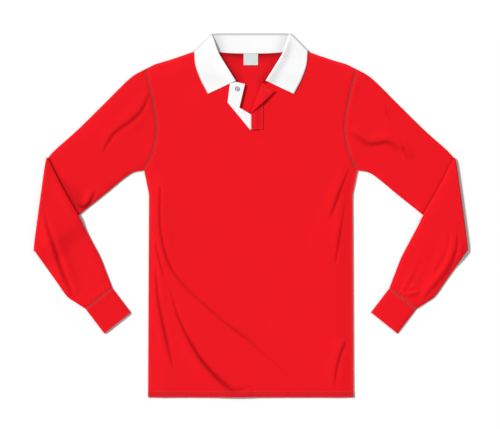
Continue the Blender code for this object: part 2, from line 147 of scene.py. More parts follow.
FALL_CROWDING = 1.3         # how much closer together the spans of the fall lie near the roll

# Painted shade at the neck, as strengths of the painted shade mask
COLLAR_EDGE_SHADE = 1.5     # painted shade along the pressed edges of the collar
COLLAR_TURN_SHADE = 0.8     # painted shade along the line at which the collar starts to turn to the back
STAND_SHADE = 0.75          # painted shade on the stand of the collar, less away from the roll
STAND_SHADE_RUN = 18.0
NECK_SHADE_RUN = 16.0       # painted shade on the back inside the neck opening
NECK_DARK = 0.8             # how much more painted shade right below the stand and beside the folded-back corner
NECK_DARK_RUN = 5.0

# Heights at the neck, where the back lies on the collar's back fall
LIFT_Y = (285.0, 315.0)
LIFT_X = (150.0, 190.0)

# Sleeve
SLEEVE_TOP = (
    # x, y
    (265.8, 300.7),
    (323.4, 244.1),
    (381.0, 187.4),
    (430.0, 143.8),
)
ELBOW_TOP = (450.3, 126.9)
ELBOW_LOW = (478.5, -78.8)
SLEEVE_UNDER = (
    # x, y
    (266.2, 90.2),
    (322.2, 45.3),
    (378.2, 0.4),
    (430.0, -41.2),
)
FOREARM_INNER = (
    # x, y
    (414.2, 63.7),
    (378.2, 0.4),
    (366.3, -24.6),
    (348.6, -58.5),
    (330.9, -92.4),
    (317.6, -126.0),
)
FOREARM_OUTER = (
    # x, y
    (448.8, -115.9),
    (426.7, -147.0),
    (404.6, -178.0),
    (384.1, -192.7),
)
CUFF_INNER = (304.5, -160.2)
CUFF_OUTER = (363.4, -205.9)
CUFF_END_INNER = (263.8, -213.8)
CUFF_END_OUTER = (322.1, -260.5)
SLEEVE_HALF = 2.25          # half the height of a flattened sleeve or cuff
EDGE_POWER = 8              # how square its two edges are: 2 would be round
EDGE_SHARES = (0.002, 0.006, 0.012)     # more points of a line across the sleeve, at both of its ends
ARMHOLE_JOIN = 30.0         # how far from the armhole the sleeve has left the level of the body
FOREARM_REST = 2.0          # beyond the upper arm's lower edge: where the forearm starts to come down
FOREARM_DESCENT = 50.0
FOREARM_CLEAR = (1.0, 5.0)  # beside the forearm: where the upper arm's creases start, and over what run
FOLD_SHADE_RUN = 4.5        # how far the painted shade on the upper arm reaches beside the forearm
UPPER_CALM = (9.0, 16.0)    # over what run creases rise away from the armhole and the elbow
FOREARM_CALM = (14.0, 14.0)     # the same away from the elbow and the cuff
UPPER_SPANS = 150
FOREARM_SPANS = 150
ELBOW_TURNS = 14
SLEEVE_LINE = 48            # points of a line across the sleeve
TOP_ACROSS = 104
UNDER_ACROSS = 28
GATHERS = 9                 # soft gathers where the sleeve runs into the cuff
GATHER_RUN = 15.3
GATHER_START = 6.0          # over what run from the cuff they rise
GATHER_HEIGHT = 0.55
GATHER_SHIFT = (1.3, 7.0)   # how far their waves drift across the sleeve, and how often

# Cuff
CUFF_SPANS = 26
CUFF_ACROSS = 176
CUFF_RIBS = 26
CUFF_LINE = 8               # points of a line across the cuff
CUFF_SEAM = 74.0            # length of the seam that shows
CUFF_SEAM_SHARE = 0.8       # its depth, as a share of the armhole's
CUFF_ROUND = 150.0          # length all round
CUFF_PINCH = 0.45           # how far the cloth dips at the cuff's two ends
CUFF_PINCH_RUN = 2.5
CUFF_WEAR = 0.6             # how rubbed the cuff's two ends are, and over how many rows
CUFF_WEAR_ROWS = 1.5

# Grids of the panels, before they are made finer beside creases and seams
NECK_SPANS = 17
SHOULDER_SPANS = 15
ARMHOLE_SPANS = 24
SIDE_SPANS = 78
SLIT_SPANS = 15
BACK_SIDE_SPANS = 60
BACK_CALM = (20.0, 40.0)    # above the hem: where the back's folds start, and over what run
FINER = (10.0, 6.5, 4.5)    # distances from a detail within which the cells are halved again
SEAM_COUNTS = (1.0, 1.3)    # a seam counts as this much further off there, and this many times as far

# Plackets
PLACKET_UNDER = (
    # x, y, round the outline
    (-31.0, 292.3),
    (-34.8, 293.9),
    (-45.8, 288.8),
    (-50.8, 247.5),
    (-1.8, 188.1),
    (8.0, 188.1),
    (8.0, 217.0),
    (0.7, 220.7),
    (-25.1, 236.3),
    (-12.8, 288.0),
)
PLACKET_FRONT_X = 0.7
PLACKET_SEAM_X = 26.6
PLACKET_LOW_Y = 188.1
FLAP_LOW = (PLACKET_FRONT_X, 220.7)
FLAP_HIGH = (PLACKET_SEAM_X, 290.2)
FLAP_TIP = (53.5, 272.4)
OVER_STEP = (8.6, 24.0)     # x between which the over placket comes down from the under placket
PLACKET_CELL = 2.5          # size of the cells that a placket is cut into
UNDER_LOOSE = 0.25          # how loose the under placket lies
UNDER_WAVES = (23.0, 17.0)  # x and y that turn its wave by one radian
FLAP_SPANS = 8              # round the fold
FLAP_LIFT = 0.9             # how far the folded-back corner springs up
FLAP_RISE = 12.0            # over what run it does
FLAP_SETTLE = (22.0, 16.0)  # from where and over what run it comes down again
BUTTONHOLE = (267.0, 90.8)  # pixel of the photo
BUTTONHOLE_LENGTH = 11.0
BUTTONHOLE_BARS = 17
BAR_AT = 0.95               # from the middle of the slit to the middle of a bar
BAR_HALF = 0.75
END_BAR_AT = 0.56           # share of the length from the middle of the slit to its end bars
END_BAR_HALF = 1.7

# Button
BUTTON_WELL = 0.45          # how far below its rim the thread lies
BUTTON_HOLES = 1.25         # half the distance between its holes
BUTTON_THREAD = 0.45        # radius

# Label
LABEL_HALF = 15.7
LABEL_Y = (329.6, 354.6)
LABEL_WALL = 1.0
LABEL_BUILT = 0.8           # share of the wall that is built here
LABEL_CELL = 1.6
LABEL_BULGE = 0.35
LABEL_WAVE = 5.0            # x that turns its wave by one radian

# Seams and hem
SEAM_GAP = 0.12             # air between two pieces that are sewn edge to edge
SEAM_RUN = 2.8              # how far from a seam the cloth dips into it
SEAM_SWELLING = 0.22        # height of the swelling beside it, as a share of the dip
SWELLING_AT = 3.2           # where it is and how wide, in runs of the seam
SWELLING_WIDTH = 1.9
PUCKER_PITCH = 13.0
PUCKERS = (
    # share of the pitch, share of the swelling
    (1.0, 0.5),
    (0.61, 0.3),
)
HEM_BAND = 14.0             # height of the turned-up hem
HEM_STEP_RUN = 1.6
HEM_FURROW = 0.35           # depth of the furrow above the step, as a share of the step
HEM_FURROW_AT = 1.2
HEM_SHADE = 0.42            # painted shade on the turned-up hem band
HEM_ROWS = (12.4, 9.2)      # heights of its two rows of stitches
HEM_ROW_INSET = 1.0

# Stitches
ROD_SIDES = 6
ROD_FLATNESS = 0.85
ROD_PROFILE = (
    # share of the length, share of the radius
    (0.0, 0.35),
    (0.18, 0.95),
    (0.5, 1.1),
    (0.82, 0.95),
    (1.0, 0.35),
)
STITCH_SHARE = 0.72         # length of a stitch, as a share of the pitch
STITCH_RADIUS = 0.32
STITCH_LIFT = 0.05          # how far above the cloth a stitch's middle lies
FLATLOCK_HALF = 2.1         # half the width of the stitches that cover a seam
FLATLOCK_PITCH = 1.15
FLATLOCK_RADIUS = 0.26
FLATLOCK_LIFT = 0.1
CUFF_ROW_DEPTH = 0.25       # how deep the stitches over the cuff's seam lie in it
CUFF_ROW = (0.02, 0.98)     # shares of the way across at which they start and end
PLACKET_INSET = 2.2         # from the placket's edge to its stitches
OVER_ROW_ENDS = (FLAP_LOW[1] + 4.0, 243.0)
UNDER_ROWS = (
    # x, y, three points a row
    ((-43.6, 286.0), (-48.4, 248.2), (-2.5, 192.0)),
    ((-15.2, 285.6), (-27.4, 234.8), (-1.4, 219.2)),
)
LABEL_INSET = (1.4, 1.2, 1.0)   # from the label's side, low end and high end
NECK_ROW_START = 8          # rung of the back at which the stitches on the stand start
NECK_ROW_UP = 2.0           # above the seam

# Folds on the hidden sides, which press against the surface
HIDDEN_HEIGHT = 0.9
HIDDEN_RUN = 9.0
HIDDEN_SHIFT = 26.0         # how far up from the folds in sight

# Section of a crease. Its width and run differ from one to the next
CREASE_ENDS = 0.45          # how wide it is at its ends, as a share
CREASE_SHIFT = 0.4          # from its line to the middle of its trough, in widths
CREASE_LOW_AT = 1.5         # from there to the top of its low side, in widths
CREASE_LOW = 0.38           # height and run of the low side, as shares of the high one's
CREASE_LOW_RUN = 0.7
TROUGH_DEPTH = 0.5
TROUGH_WIDTH = 0.8          # in widths
SHADE_LEAST = 0.3           # painted shade along the lowest crease
SHADE_HEIGHT = 5.0          # height that adds one to it


class Crease(NamedTuple):
    """A crease by the photo's pixels: its points, the height and run of its high side, half the width of its
    narrow trough, the share of its length at which it is fullest, and the side of the line that is high: 1
    for the left of its way, -1 for the right."""

    points: tuple
    height: float
    run: float
    width: float
    fullest: float
    side: int


FRONT_CREASES = (
    # points (photo x, photo y), height, run, width, fullest, side
    Crease(((160, 186), (161, 234), (175, 274), (212, 311), (248, 340), (289, 374)), 1.0, 20, 5.0, 0.25, -1),
    Crease(((222, 320), (240, 333), (257, 344)), 1.1, 12, 5.0, 0.55, -1),
    Crease(((168, 283), (180, 321), (202, 360), (226, 385), (237, 391), (252, 388)), 3.3, 22, 7.0, 0.72, -1),
    Crease(((155, 262), (159, 304), (173, 368)), 1.5, 12, 6.4, 0.6, -1),
    Crease(((155, 243), (164, 278)), 0.8, 9, 4.8, 0.4, -1),
    Crease(((349, 168), (341, 188), (330, 218)), 1.2, 13, 6.0, 0.6, -1),
    Crease(((345, 202), (335, 264)), 0.8, 12, 5.6, 0.6, -1),
    Crease(((346, 340), (338, 362), (334, 387)), 1.2, 14, 6.0, 0.35, -1),
)
SLEEVE_CREASES = {
    "left": (
        # points (photo x, photo y), height, run, width, fullest, side
        Crease(((150, 92), (142, 110), (130, 122), (114, 134), (102, 153)), 1.5, 16, 6.4, 0.45, -1),
        Crease(((59, 173), (69, 190), (79, 206), (88, 205), (95, 191)), 3.2, 12, 7.0, 0.5, 1),
        Crease(((41, 204), (53, 242), (62, 270), (73, 295)), 5.0, 15, 7.4, 0.68, -1),
    ),
    "right": (
        # points (photo x, photo y), height, run, width, fullest, side
        Crease(((350, 131), (366, 143), (377, 144), (388, 143), (402, 152)), 2.4, 14, 6.8, 0.5, 1),
        Crease(((401, 139), (410, 160)), 1.3, 9, 5.0, 0.7, 1),
        Crease(((386, 105), (394, 132)), 0.5, 10, 3.6, 0.2, 1),
        Crease(((457, 231), (455, 250), (447, 270), (423, 299)), 4.0, 13, 6.8, 0.6, -1),
        Crease(((449, 226), (445, 252), (432, 277)), 1.6, 12, 5.6, 0.72, -1),
        Crease(((423, 257), (404, 293)), 1.1, 12, 5.2, 0.72, -1),
        Crease(((400, 289), (409, 292), (419, 289)), 3.2, 6, 4.6, 0.5, -1),
    ),
}
SWELLS = (
    # wave length x, wave length y, phase, height: slow unevenness of cloth that lies loose
    (310.0, 520.0, 0.4, 0.22),
    (-210.0, 380.0, 1.9, 0.16),
    (96.0, -240.0, 3.1, 0.09),
    (-64.0, 150.0, 5.0, 0.05),
)

# Stage
FLOOR_REACH = 40.0          # metres, as the light's place
LIGHT_PLACE = (-2.2, 1.3, 2.0)
LIGHT_STRENGTH = 3.4
SKY_STRENGTH = 0.4
LENS = 85.0


# Measures of lines and fields

def smooth(value):
    """Ease from 0 to 1."""
    t = np.clip(value, 0.0, 1.0)
    return t * t * (3 - 2 * t)


def from_photo(x, y):
    """Place on the shirt of a pixel of the photo."""
    return ((x - PHOTO_MIDDLE[0]) * PIXEL, (PHOTO_MIDDLE[1] - y) * PIXEL)


def bell(distance, width):
    """1 at a distance of nothing, falling off softly on both sides."""
    return np.exp(-(distance / width) ** 2)


def unit(way):
    """The same way with a length of one."""
    return way / np.linalg.norm(way)


def left_of(way):
    """Way at a right angle to a flat one, to its left."""
    return np.array((-way[1], way[0]))


def step_lengths(points):
    """Distances from each point to the next."""
    return np.linalg.norm(np.diff(points, axis=0), axis=1)


def length_along(points):
    """Length of the way from the first point to each one."""
    return np.concatenate(([0.0], np.cumsum(step_lengths(points))))


def even_points(points, spans):
    """Points at even distances along the straight runs between points."""
    run = np.array(points, float)
    along = length_along(run)
    wanted = np.linspace(0.0, along[-1], spans + 1)
    return np.stack([np.interp(wanted, along, run[:, k]) for k in range(run.shape[1])], axis=1)


def round_rows(rows, spans):
    """Rows at even steps along a round curve through the given rows."""
    given = np.array(rows, float)
    padded = np.vstack((2 * given[0] - given[1], given, 2 * given[-1] - given[-2]))
    place = np.linspace(0, len(given) - 1, spans + 1)
    k = np.minimum(place.astype(int), len(given) - 2)
    t = (place - k)[:, None]
    a, b, c, d = (padded[k + n] for n in range(4))
    bend = (2 * a - 5 * b + 4 * c - d) * t + (3 * b - a - 3 * c + d) * t * t
    return b + ((c - a) + bend) * t / 2


def round_points(rows, spans):
    """Points at even distances along a round curve through the rows."""
    return even_points(round_rows(rows, 24 * len(rows)), spans)


def mirrored(points, side):
    """Points of the +X half, or their mirror images for the other half."""
    flipped = np.array(points, float)
    flipped[:, 0] *= side
    return flipped


def run_distance(run, x, y):
    """Distance to a run of points, positive on the left of its way, and the nearest share of the run."""
    best = np.full(np.shape(x), 1e9)
    signed = np.zeros_like(best)
    share = np.zeros_like(best)
    spans = len(run) - 1
    for k in range(spans):
        ax, ay = run[k]
        dx, dy = run[k + 1] - run[k]
        t = np.clip(((x - ax) * dx + (y - ay) * dy) / (dx * dx + dy * dy), 0, 1)
        gap = np.hypot(x - ax - t * dx, y - ay - t * dy)
        nearer = gap < best
        best = np.where(nearer, gap, best)
        signed = np.where(nearer, np.sign(dx * (y - ay) - dy * (x - ax)) * gap, signed)
        share = np.where(nearer, (k + t) / spans, share)
    return signed, share


def distance_to(run, x, y):
    """Distance to a run of points, on either side of it."""
    return np.abs(run_distance(run, x, y)[0])


def patch(low, high, left, right):
    """Grid of points that fills four edges: low and high run left to right, left and right run upwards."""
    u = np.linspace(0, 1, len(low))[None, :, None]
    v = np.linspace(0, 1, len(left))[:, None, None]
    ruled = (1 - v) * low[None] + v * high[None] + (1 - u) * left[:, None] + u * right[:, None]
    corners = (1 - u) * ((1 - v) * low[0] + v * high[0]) + u * ((1 - v) * low[-1] + v * high[-1])
    return ruled - corners


def crease_run(crease):
    """Round line of a crease, in millimetres."""
    return round_points([from_photo(*point) for point in crease.points], 6 * len(crease.points))


def crease_height(creases, x, y, strength=1.0):
    """Height of a set of creases, and the painted shade along their lines, more for higher creases. A crease
    has a high, soft side, a lower side, and a narrow trough between the two. Its line is the steep wall from
    the high side down to the trough. It thins out towards its ends."""
    total = np.zeros(np.shape(x))
    painted_shade = np.zeros(np.shape(x))
    for crease in creases:
        signed, share = run_distance(crease_run(crease), x, y)
        signed = signed * crease.side
        stretch = log(0.5) / log(crease.fullest)
        fade = np.sin(pi * np.clip(share, 0, 1) ** stretch) ** 0.5
        width = crease.width * (CREASE_ENDS + (1 - CREASE_ENDS) * fade)
        # painted shade along the crease's line
        crease_shade = fade * bell(signed, width) * min(SHADE_LEAST + crease.height / SHADE_HEIGHT, 1.0)
        painted_shade = np.maximum(painted_shade, crease_shade)
        signed = signed + CREASE_SHIFT * width
        low_at = CREASE_LOW_AT * width
        high = smooth(signed / width) * bell(np.maximum(signed - width, 0), crease.run)
        low = smooth(-signed / low_at) * bell(np.maximum(-signed - low_at, 0), CREASE_LOW_RUN * crease.run)
        trough = TROUGH_DEPTH * bell(signed, TROUGH_WIDTH * width)
        total += strength * fade * (crease.height * (high + CREASE_LOW * low) - trough)
    return total, painted_shade


def crease_gap(creases, x, y):
    """Distance to the nearest of a set of creases."""
    return np.min([distance_to(crease_run(crease), x, y) for crease in creases], axis=0)


def hidden_height(creases, x, y):
    """Height of the soft folds on a hidden side: like those in sight, but lower and in other places."""
    total = np.zeros(np.shape(x))
    for crease in creases:
        signed, share = run_distance(crease_run(crease) + (0.0, HIDDEN_SHIFT), x, y)
        fade = np.sin(pi * np.clip(share, 0, 1))
        total = np.maximum(total, HIDDEN_HEIGHT * fade * bell(signed, HIDDEN_RUN))
    return total


def swell(x, y):
    """Slow unevenness of the cloth."""
    total = np.zeros(np.shape(x))
    for length_x, length_y, phase, height in SWELLS:
        total += height * np.sin(2 * pi * (x / length_x + y / length_y) + phase)
    return total


def seam_dip(gap, along, depth):
    """Dip of the cloth into a seam, with the low swelling and the small puckers beside it."""
    pucker = 1.0
    for share, size in PUCKERS:
        pucker = pucker + size * np.sin(2 * pi * along / (share * PUCKER_PITCH))
    beside = bell(gap - SWELLING_AT * SEAM_RUN, SWELLING_WIDTH * SEAM_RUN)
    return -depth * bell(gap, SEAM_RUN) + SEAM_SWELLING * depth * beside * pucker


def seam_point(rung):
    """Point of the body's neck edge, just beyond the end of the collar stand."""
    roll = np.array(rung[0:2])
    along = unit(np.array(rung[2:4]) - roll)
    return roll + along * (rung[4] + GAP) - left_of(along) * GAP


ARMHOLE_POINTS = round_points(ARMHOLE, ARMHOLE_SPANS)
SIDE_POINTS = np.array(((HEM_HALF, HEM_Y), CHEST, UNDERARM))
FRONT_RUNGS = round_rows(COLLAR_FRONT, COLLAR_SPANS)
BACK_RUNGS = round_rows(COLLAR_BACK, COLLAR_SPANS)
SHOULDER_POINTS = np.vstack((seam_point(FRONT_RUNGS[-1]), SHOULDER))
CLOSED_EDGES = (np.vstack((COLLAR_FRONT[-1][0:2], SHOULDER_POINTS)), SIDE_POINTS)
FLAP_WAY = unit(np.array(FLAP_HIGH) - FLAP_LOW)
FLAP_BEYOND = left_of(FLAP_WAY)


# Property groups

def colour_property(name, description, default):
    """Colour that a user may change."""
    return FloatVectorProperty(name=name, description=description, default=default, subtype="COLOR", size=3,
                               min=0, max=1)


class ShirtSizes(bpy.types.PropertyGroup):
    """Sizes of the shirt's cloth that a user may change."""

    wall: FloatProperty(name="Cloth thickness", description="Thickness of the jersey and of the collar",
                        default=0.0012, min=0.0008, max=0.0015, unit="LENGTH")
    crease: FloatProperty(name="Creases", description="Depth of the creases, as a share of the table's",
                          default=1.0, min=0.0, max=1.2, subtype="FACTOR")
    seam: FloatProperty(name="Seam depth", description="How deep the cloth dips into a seam",
                        default=0.0011, min=0.0, max=0.0014, unit="LENGTH")
    rib: FloatProperty(name="Cuff ribs", description="Height of the ribs of the cuffs",
                       default=0.00022, min=0.0, max=0.0005, unit="LENGTH")
    hem: FloatProperty(name="Hem step", description="Height of the turned-up hem above the front",
                       default=0.0007, min=0.0, max=0.001, unit="LENGTH")
    stitches: FloatProperty(name="Stitch pitch", description="Distance from one stitch to the next",
                            default=0.0032, min=0.0026, max=0.006, unit="LENGTH")
    folds: IntProperty(name="Gathers", description="Soft gathers of a sleeve at its cuff", default=GATHERS,
                       min=0, max=16)


class ShirtColours(bpy.types.PropertyGroup):
    """Colours of the shirt, and of the stage."""

    red: colour_property("Body", "Colour of the jersey", (0.862, 0.0087, 0.0153))
    thread: colour_property("Seam thread", "Colour of the thread of the body's seams", (0.36, 0.085, 0.085))
    white: colour_property("Collar", "Colour of the collar and the under placket", (0.95, 0.95, 0.95))
    label: colour_property("Label", "Colour of the neck label", (0.68, 0.74, 0.74))
    button: colour_property("Button", "Colour of the button", (0.46, 0.46, 0.47))
    floor: colour_property("Floor", "Colour of the floor", (0.95, 0.95, 0.95))


def sizes():
    return bpy.context.scene.shirt_sizes


def colours():
    return bpy.context.scene.shirt_colours


def wall():
    """Thickness of the cloth in millimetres."""
    return sizes().wall / MM


# Heights of the body's cloth

def back_level(x, y):
    """Height of the middle of the back's wall."""
    lift = smooth((y - LIFT_Y[0]) / (LIFT_Y[1] - LIFT_Y[0]))
    lift = lift * smooth((LIFT_X[1] - np.abs(x)) / (LIFT_X[1] - LIFT_X[0]))
    return wall() / 2 + (wall() + GAP) * lift


def edge_distance(x, y):
    """Distance to the nearest side seam or shoulder, on either half."""
    return np.minimum(*(distance_to(run, np.abs(x), y) for run in CLOSED_EDGES))


def front_base(x, y):
    """Height of the middle of the front's wall without its creases."""
    x = np.asarray(x, float)
    y = np.asarray(y, float)
    rise = smooth(edge_distance(x, y) / LOFT_RUN)
    hem = 1 - HEM_DROP * (1 - smooth((y - HEM_Y) / HEM_RUN))
    return back_level(x, y) + wall() + GAP + rise * (LOFT * hem + swell(x, y))


def seam_rise(x, y):
    """Share of their height that creases have at a place beside the side seam or the shoulder."""
    return smooth(edge_distance(x, y) / EDGE_RUN)


def front_relief(x, y):
    """Height of the middle of the front's wall with creases, seams and hem, and the painted shade there: in
    the creases and on the turned-up hem.
    """
    x = np.asarray(x, float)
    y = np.asarray(y, float)
    rise = seam_rise(x, y)
    folds, painted_shade = crease_height(FRONT_CREASES, x, y, sizes().crease)
    gap, share = run_distance(ARMHOLE_POINTS, np.abs(x), y)
    dip = seam_dip(np.abs(gap), share * ARMHOLE_LENGTH, sizes().seam / MM)
    above_hem = y - HEM_Y - HEM_BAND
    band = smooth(0.5 - above_hem / HEM_STEP_RUN)
    furrow = HEM_FURROW * bell(above_hem - HEM_FURROW_AT, HEM_STEP_RUN)
    level = front_base(x, y) + rise * (folds + dip) + sizes().hem / MM * (band - furrow)
    # painted shade: along the creases, and on the turned-up hem band all along
    return level, np.maximum(rise * painted_shade, HEM_SHADE * band)


def front_level(x, y):
    """Height of the middle of the front's wall, with its creases, seams and hem."""
    return front_relief(x, y)[0]


def above_front(x, y, layers):
    """Height of the middle of a piece that lies on the front with this many layers between."""
    return front_base(x, y) + (layers + 1) * (wall() + GAP)


# Building of meshes

def make_piece(name, verts, faces, material, uv, wear=None, painted_shade=None):
    """Mesh object from points in millimetres, with the cloth's own lie as UV, in metres, where it is rubbed,
    and where shade is painted into its colour."""
    mesh = bpy.data.meshes.new(name)
    mesh.from_pydata((np.asarray(verts) * MM).tolist(), [], [list(map(int, f)) for f in faces])
    layer = mesh.uv_layers.new(name="cloth")
    corners = np.empty(len(mesh.loops), dtype=np.int32)
    mesh.loops.foreach_get("vertex_index", corners)
    layer.data.foreach_set("uv", (np.asarray(uv)[corners] * MM).astype(np.float32).ravel())
    # the second attribute is painted shade, which darkens the colour in creases, hollows and beside parts
    for attribute, given in (("wear", wear), ("painted_shade", painted_shade)):
        values = np.zeros(len(verts)) if given is None else np.asarray(given, float).ravel()
        layer = mesh.attributes.new(attribute, "FLOAT", "POINT")
        layer.data.foreach_set("value", values.astype(np.float32))
    mesh.materials.append(material)
    mesh.shade_smooth()
    mesh.set_sharp_from_angle(angle=SHARP_EDGE)
    piece = bpy.data.objects.new(name, mesh)
    bpy.context.collection.objects.link(piece)
    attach(piece, "root")
    return piece


def thick_faces(quads, count):
    """Faces of a closed wall: the sheet, the sheet again underneath, and the rim round its free edges."""
    quads = np.asarray(quads)
    pairs = np.concatenate([quads[:, [k, (k + 1) % quads.shape[1]]] for k in range(quads.shape[1])])
    keys = np.sort(pairs, axis=1)
    _, first, times = np.unique(keys, axis=0, return_index=True, return_counts=True)
    rim = pairs[first[times == 1]]
    rims = np.stack((rim[:, 1], rim[:, 0], rim[:, 0] + count, rim[:, 1] + count), axis=1)
    return [*quads.tolist(), *(quads[:, ::-1] + count).tolist(), *rims.tolist()]


def grid_quads(ids):
    """Quads of a grid of point numbers."""
    return np.stack((ids[:-1, :-1], ids[:-1, 1:], ids[1:, 1:], ids[1:, :-1]), axis=-1).reshape(-1, 4)


def twice(values):
    """Values of one side of a wall, for both of its sides."""
    return None if values is None else np.concatenate((np.ravel(values), np.ravel(values)))


def level_wall(name, flat, quads, middle, thickness, material, wear=None, painted_shade=None):
    """Closed wall of a flat sheet at the height of its middle."""
    top = np.column_stack((flat, middle + thickness / 2))
    low = np.column_stack((flat, middle - thickness / 2))
    return make_piece(name, np.vstack((top, low)), thick_faces(quads, len(flat)), material,
                      uv=np.vstack((flat, flat)), wear=twice(wear), painted_shade=twice(painted_shade))


def swept_wall(name, outer, inner, material, uv, ring=False, wear=None, painted_shade=None):
    """Closed wall between two grids of points. In a ring the last column joins the first."""
    rows, columns = outer.shape[:2]
    ids = np.arange(rows * columns).reshape(rows, columns)
    if ring:
        ids = np.column_stack((ids, ids[:, 0]))
    verts = np.vstack((outer.reshape(-1, 3), inner.reshape(-1, 3)))
    places = np.vstack((uv.reshape(-1, 2), uv.reshape(-1, 2)))
    return make_piece(name, verts, thick_faces(grid_quads(ids), rows * columns), material, uv=places,
                      wear=twice(wear), painted_shade=twice(painted_shade))


def flat_triangles(bm):
    """Points and triangles of a flat mesh, which is freed."""
    bmesh.ops.triangulate(bm, faces=bm.faces)
    bm.verts.index_update()
    flat = np.array([v.co[:2] for v in bm.verts])
    triangles = np.array([[v.index for v in face.verts] for face in bm.faces])
    bm.free()
    return flat, triangles


def finer(flat, quads, near):
    """Flat mesh whose cells are halved, step by step, near the details. near gives the distance to them."""
    bm = bmesh.new()
    verts = [bm.verts.new((x, y, 0)) for x, y in flat]
    for quad in quads:
        bm.faces.new([verts[k] for k in quad])
    for reach in FINER:
        bm.verts.index_update()
        places = np.array([v.co[:2] for v in bm.verts])
        close = near(*places.T) < reach
        edges = [e for e in bm.edges if close[e.verts[0].index] or close[e.verts[1].index]]
        bmesh.ops.subdivide_edges(bm, edges=edges, cuts=1, use_grid_fill=True)
    return flat_triangles(bm)


def facing_out(piece):
    """Turn a closed piece's faces outwards."""
    bm = bmesh.new()
    bm.from_mesh(piece.data)
    bmesh.ops.recalc_face_normals(bm, faces=bm.faces)
    bm.to_mesh(piece.data)
    bm.free()


def as_cloth(piece, node):
    facing_out(piece)
    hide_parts(node)


# Shader groups and materials

def feed(tree, node, inputs):
    """Link a node's inputs to sockets, or set them to values, by their names or places."""
    for socket, value in inputs.items():
        if isinstance(value, bpy.types.NodeSocket):
            tree.links.new(value, node.inputs[socket])
        else:
            node.inputs[socket].default_value = value


def add_node(tree, kind, inputs, **settings):
    """Shader node of a kind, with its settings made and then its inputs fed."""
    node = tree.nodes.new("ShaderNode" + kind)
    for setting, value in settings.items():
        setattr(node, setting, value)
    feed(tree, node, inputs)
    return node


def node_math(tree, operation, *values):
    """Output of a math node whose inputs are sockets or numbers."""
    return add_node(tree, "Math", dict(enumerate(values)), operation=operation).outputs[0]


def shader_group(name, inputs, output, fill):
    """Shader group with named inputs and one output, built once. fill makes the nodes between them."""
    if name not in bpy.data.node_groups:
        tree = bpy.data.node_groups.new(name, "ShaderNodeTree")
        for socket_name, kind, default in inputs:
            socket = tree.interface.new_socket(socket_name, in_out="INPUT", socket_type="NodeSocket" + kind)
            if default is not None:
                socket.default_value = default
        socket_name, kind = output
        tree.interface.new_socket(socket_name, in_out="OUTPUT", socket_type="NodeSocket" + kind)
        given = tree.nodes.new("NodeGroupInput").outputs
        out = tree.nodes.new("NodeGroupOutput")
        feed(tree, out, {socket_name: fill(tree, given)})
    return bpy.data.node_groups[name]


def knit_height(tree, given):
    """Height of a fine knit: rows of small V-shaped loops, a wale wide and a course high."""
    split = add_node(tree, "SeparateXYZ", {0: given["Place"]}).outputs
    x = node_math(tree, "DIVIDE", split["X"], given["Wale"])
    y = node_math(tree, "DIVIDE", split["Y"], given["Course"])
    across = node_math(tree, "ABSOLUTE", node_math(tree, "SUBTRACT", node_math(tree, "FRACT", x), 0.5))
    slant = node_math(tree, "MULTIPLY_ADD", across, 1.2, y)
    ripple = node_math(tree, "COSINE", node_math(tree, "MULTIPLY", slant, 2 * pi))
    ripple = node_math(tree, "MULTIPLY_ADD", ripple, 0.3, 0.7)
    leg = node_math(tree, "SINE", node_math(tree, "MULTIPLY", across, 2 * pi))
    return node_math(tree, "MULTIPLY", ripple, leg)


def knit_group():
    inputs = (("Place", "Vector", None), ("Wale", "Float", 0.0009), ("Course", "Float", 0.0007))
    return shader_group("knit_loops", inputs, ("Height", "Float"), knit_height)


def twill_height(tree, given):
    """Height of a fine twill: slanting lines broken by the threads that cross them."""
    split = add_node(tree, "SeparateXYZ", {0: given["Place"]}).outputs
    x, y = (node_math(tree, "DIVIDE", split[axis], given["Pitch"]) for axis in "XY")
    line = node_math(tree, "SINE", node_math(tree, "MULTIPLY", node_math(tree, "ADD", x, y), 2 * pi))
    line = node_math(tree, "MULTIPLY_ADD", line, 0.35, 0.5)
    cross = node_math(tree, "SINE", node_math(tree, "MULTIPLY", x, 4 * pi))
    return node_math(tree, "MULTIPLY_ADD", cross, 0.15, line)


def twill_group():
    inputs = (("Place", "Vector", None), ("Pitch", "Float", 0.0006))
    return shader_group("twill_lines", inputs, ("Height", "Float"), twill_height)


def uneven_colour(tree, given):
    """Colour of dyed cloth: faint clouds of dye, fine flecks of fibre, painted shade that darkens the low
    threads of the weave and the places of the shade mask, and rubbed places a little lighter."""
    value = 1.0
    for scale, detail, amount in ((9.0, 3.0, "Clouds"), (900.0, 1.0, "Flecks")):
        noise = add_node(tree, "TexNoise", {"Scale": scale, "Detail": detail, "Vector": given["Place"]})
        centred = node_math(tree, "SUBTRACT", noise.outputs["Fac"], 0.5)
        part = node_math(tree, "MULTIPLY", centred, given[amount])
        value = node_math(tree, "MULTIPLY_ADD", part, 2.0, value)
    # painted shade: the low parts of the weave darker
    threads = node_math(tree, "MULTIPLY_ADD", given["Height"], 0.10, 0.92)
    # painted shade: the colour darker where the shade mask is set
    painted_darkening = node_math(tree, "MULTIPLY", given["Hollow"], given["ShadeStrength"])
    for share in (threads, node_math(tree, "SUBTRACT", 1.0, painted_darkening)):
        value = node_math(tree, "MULTIPLY", value, share)
    dyed = add_node(tree, "VectorMath", {0: given["Colour"], "Scale": value}, operation="SCALE")
    rubbed = node_math(tree, "MULTIPLY", given["Wear"], given["Rubbed"])
    colours_in = {"Factor": rubbed, "A": dyed.outputs["Vector"], "B": (1.0, 0.85, 0.83, 1.0)}
    return add_node(tree, "Mix", colours_in, data_type="RGBA").outputs["Result"]


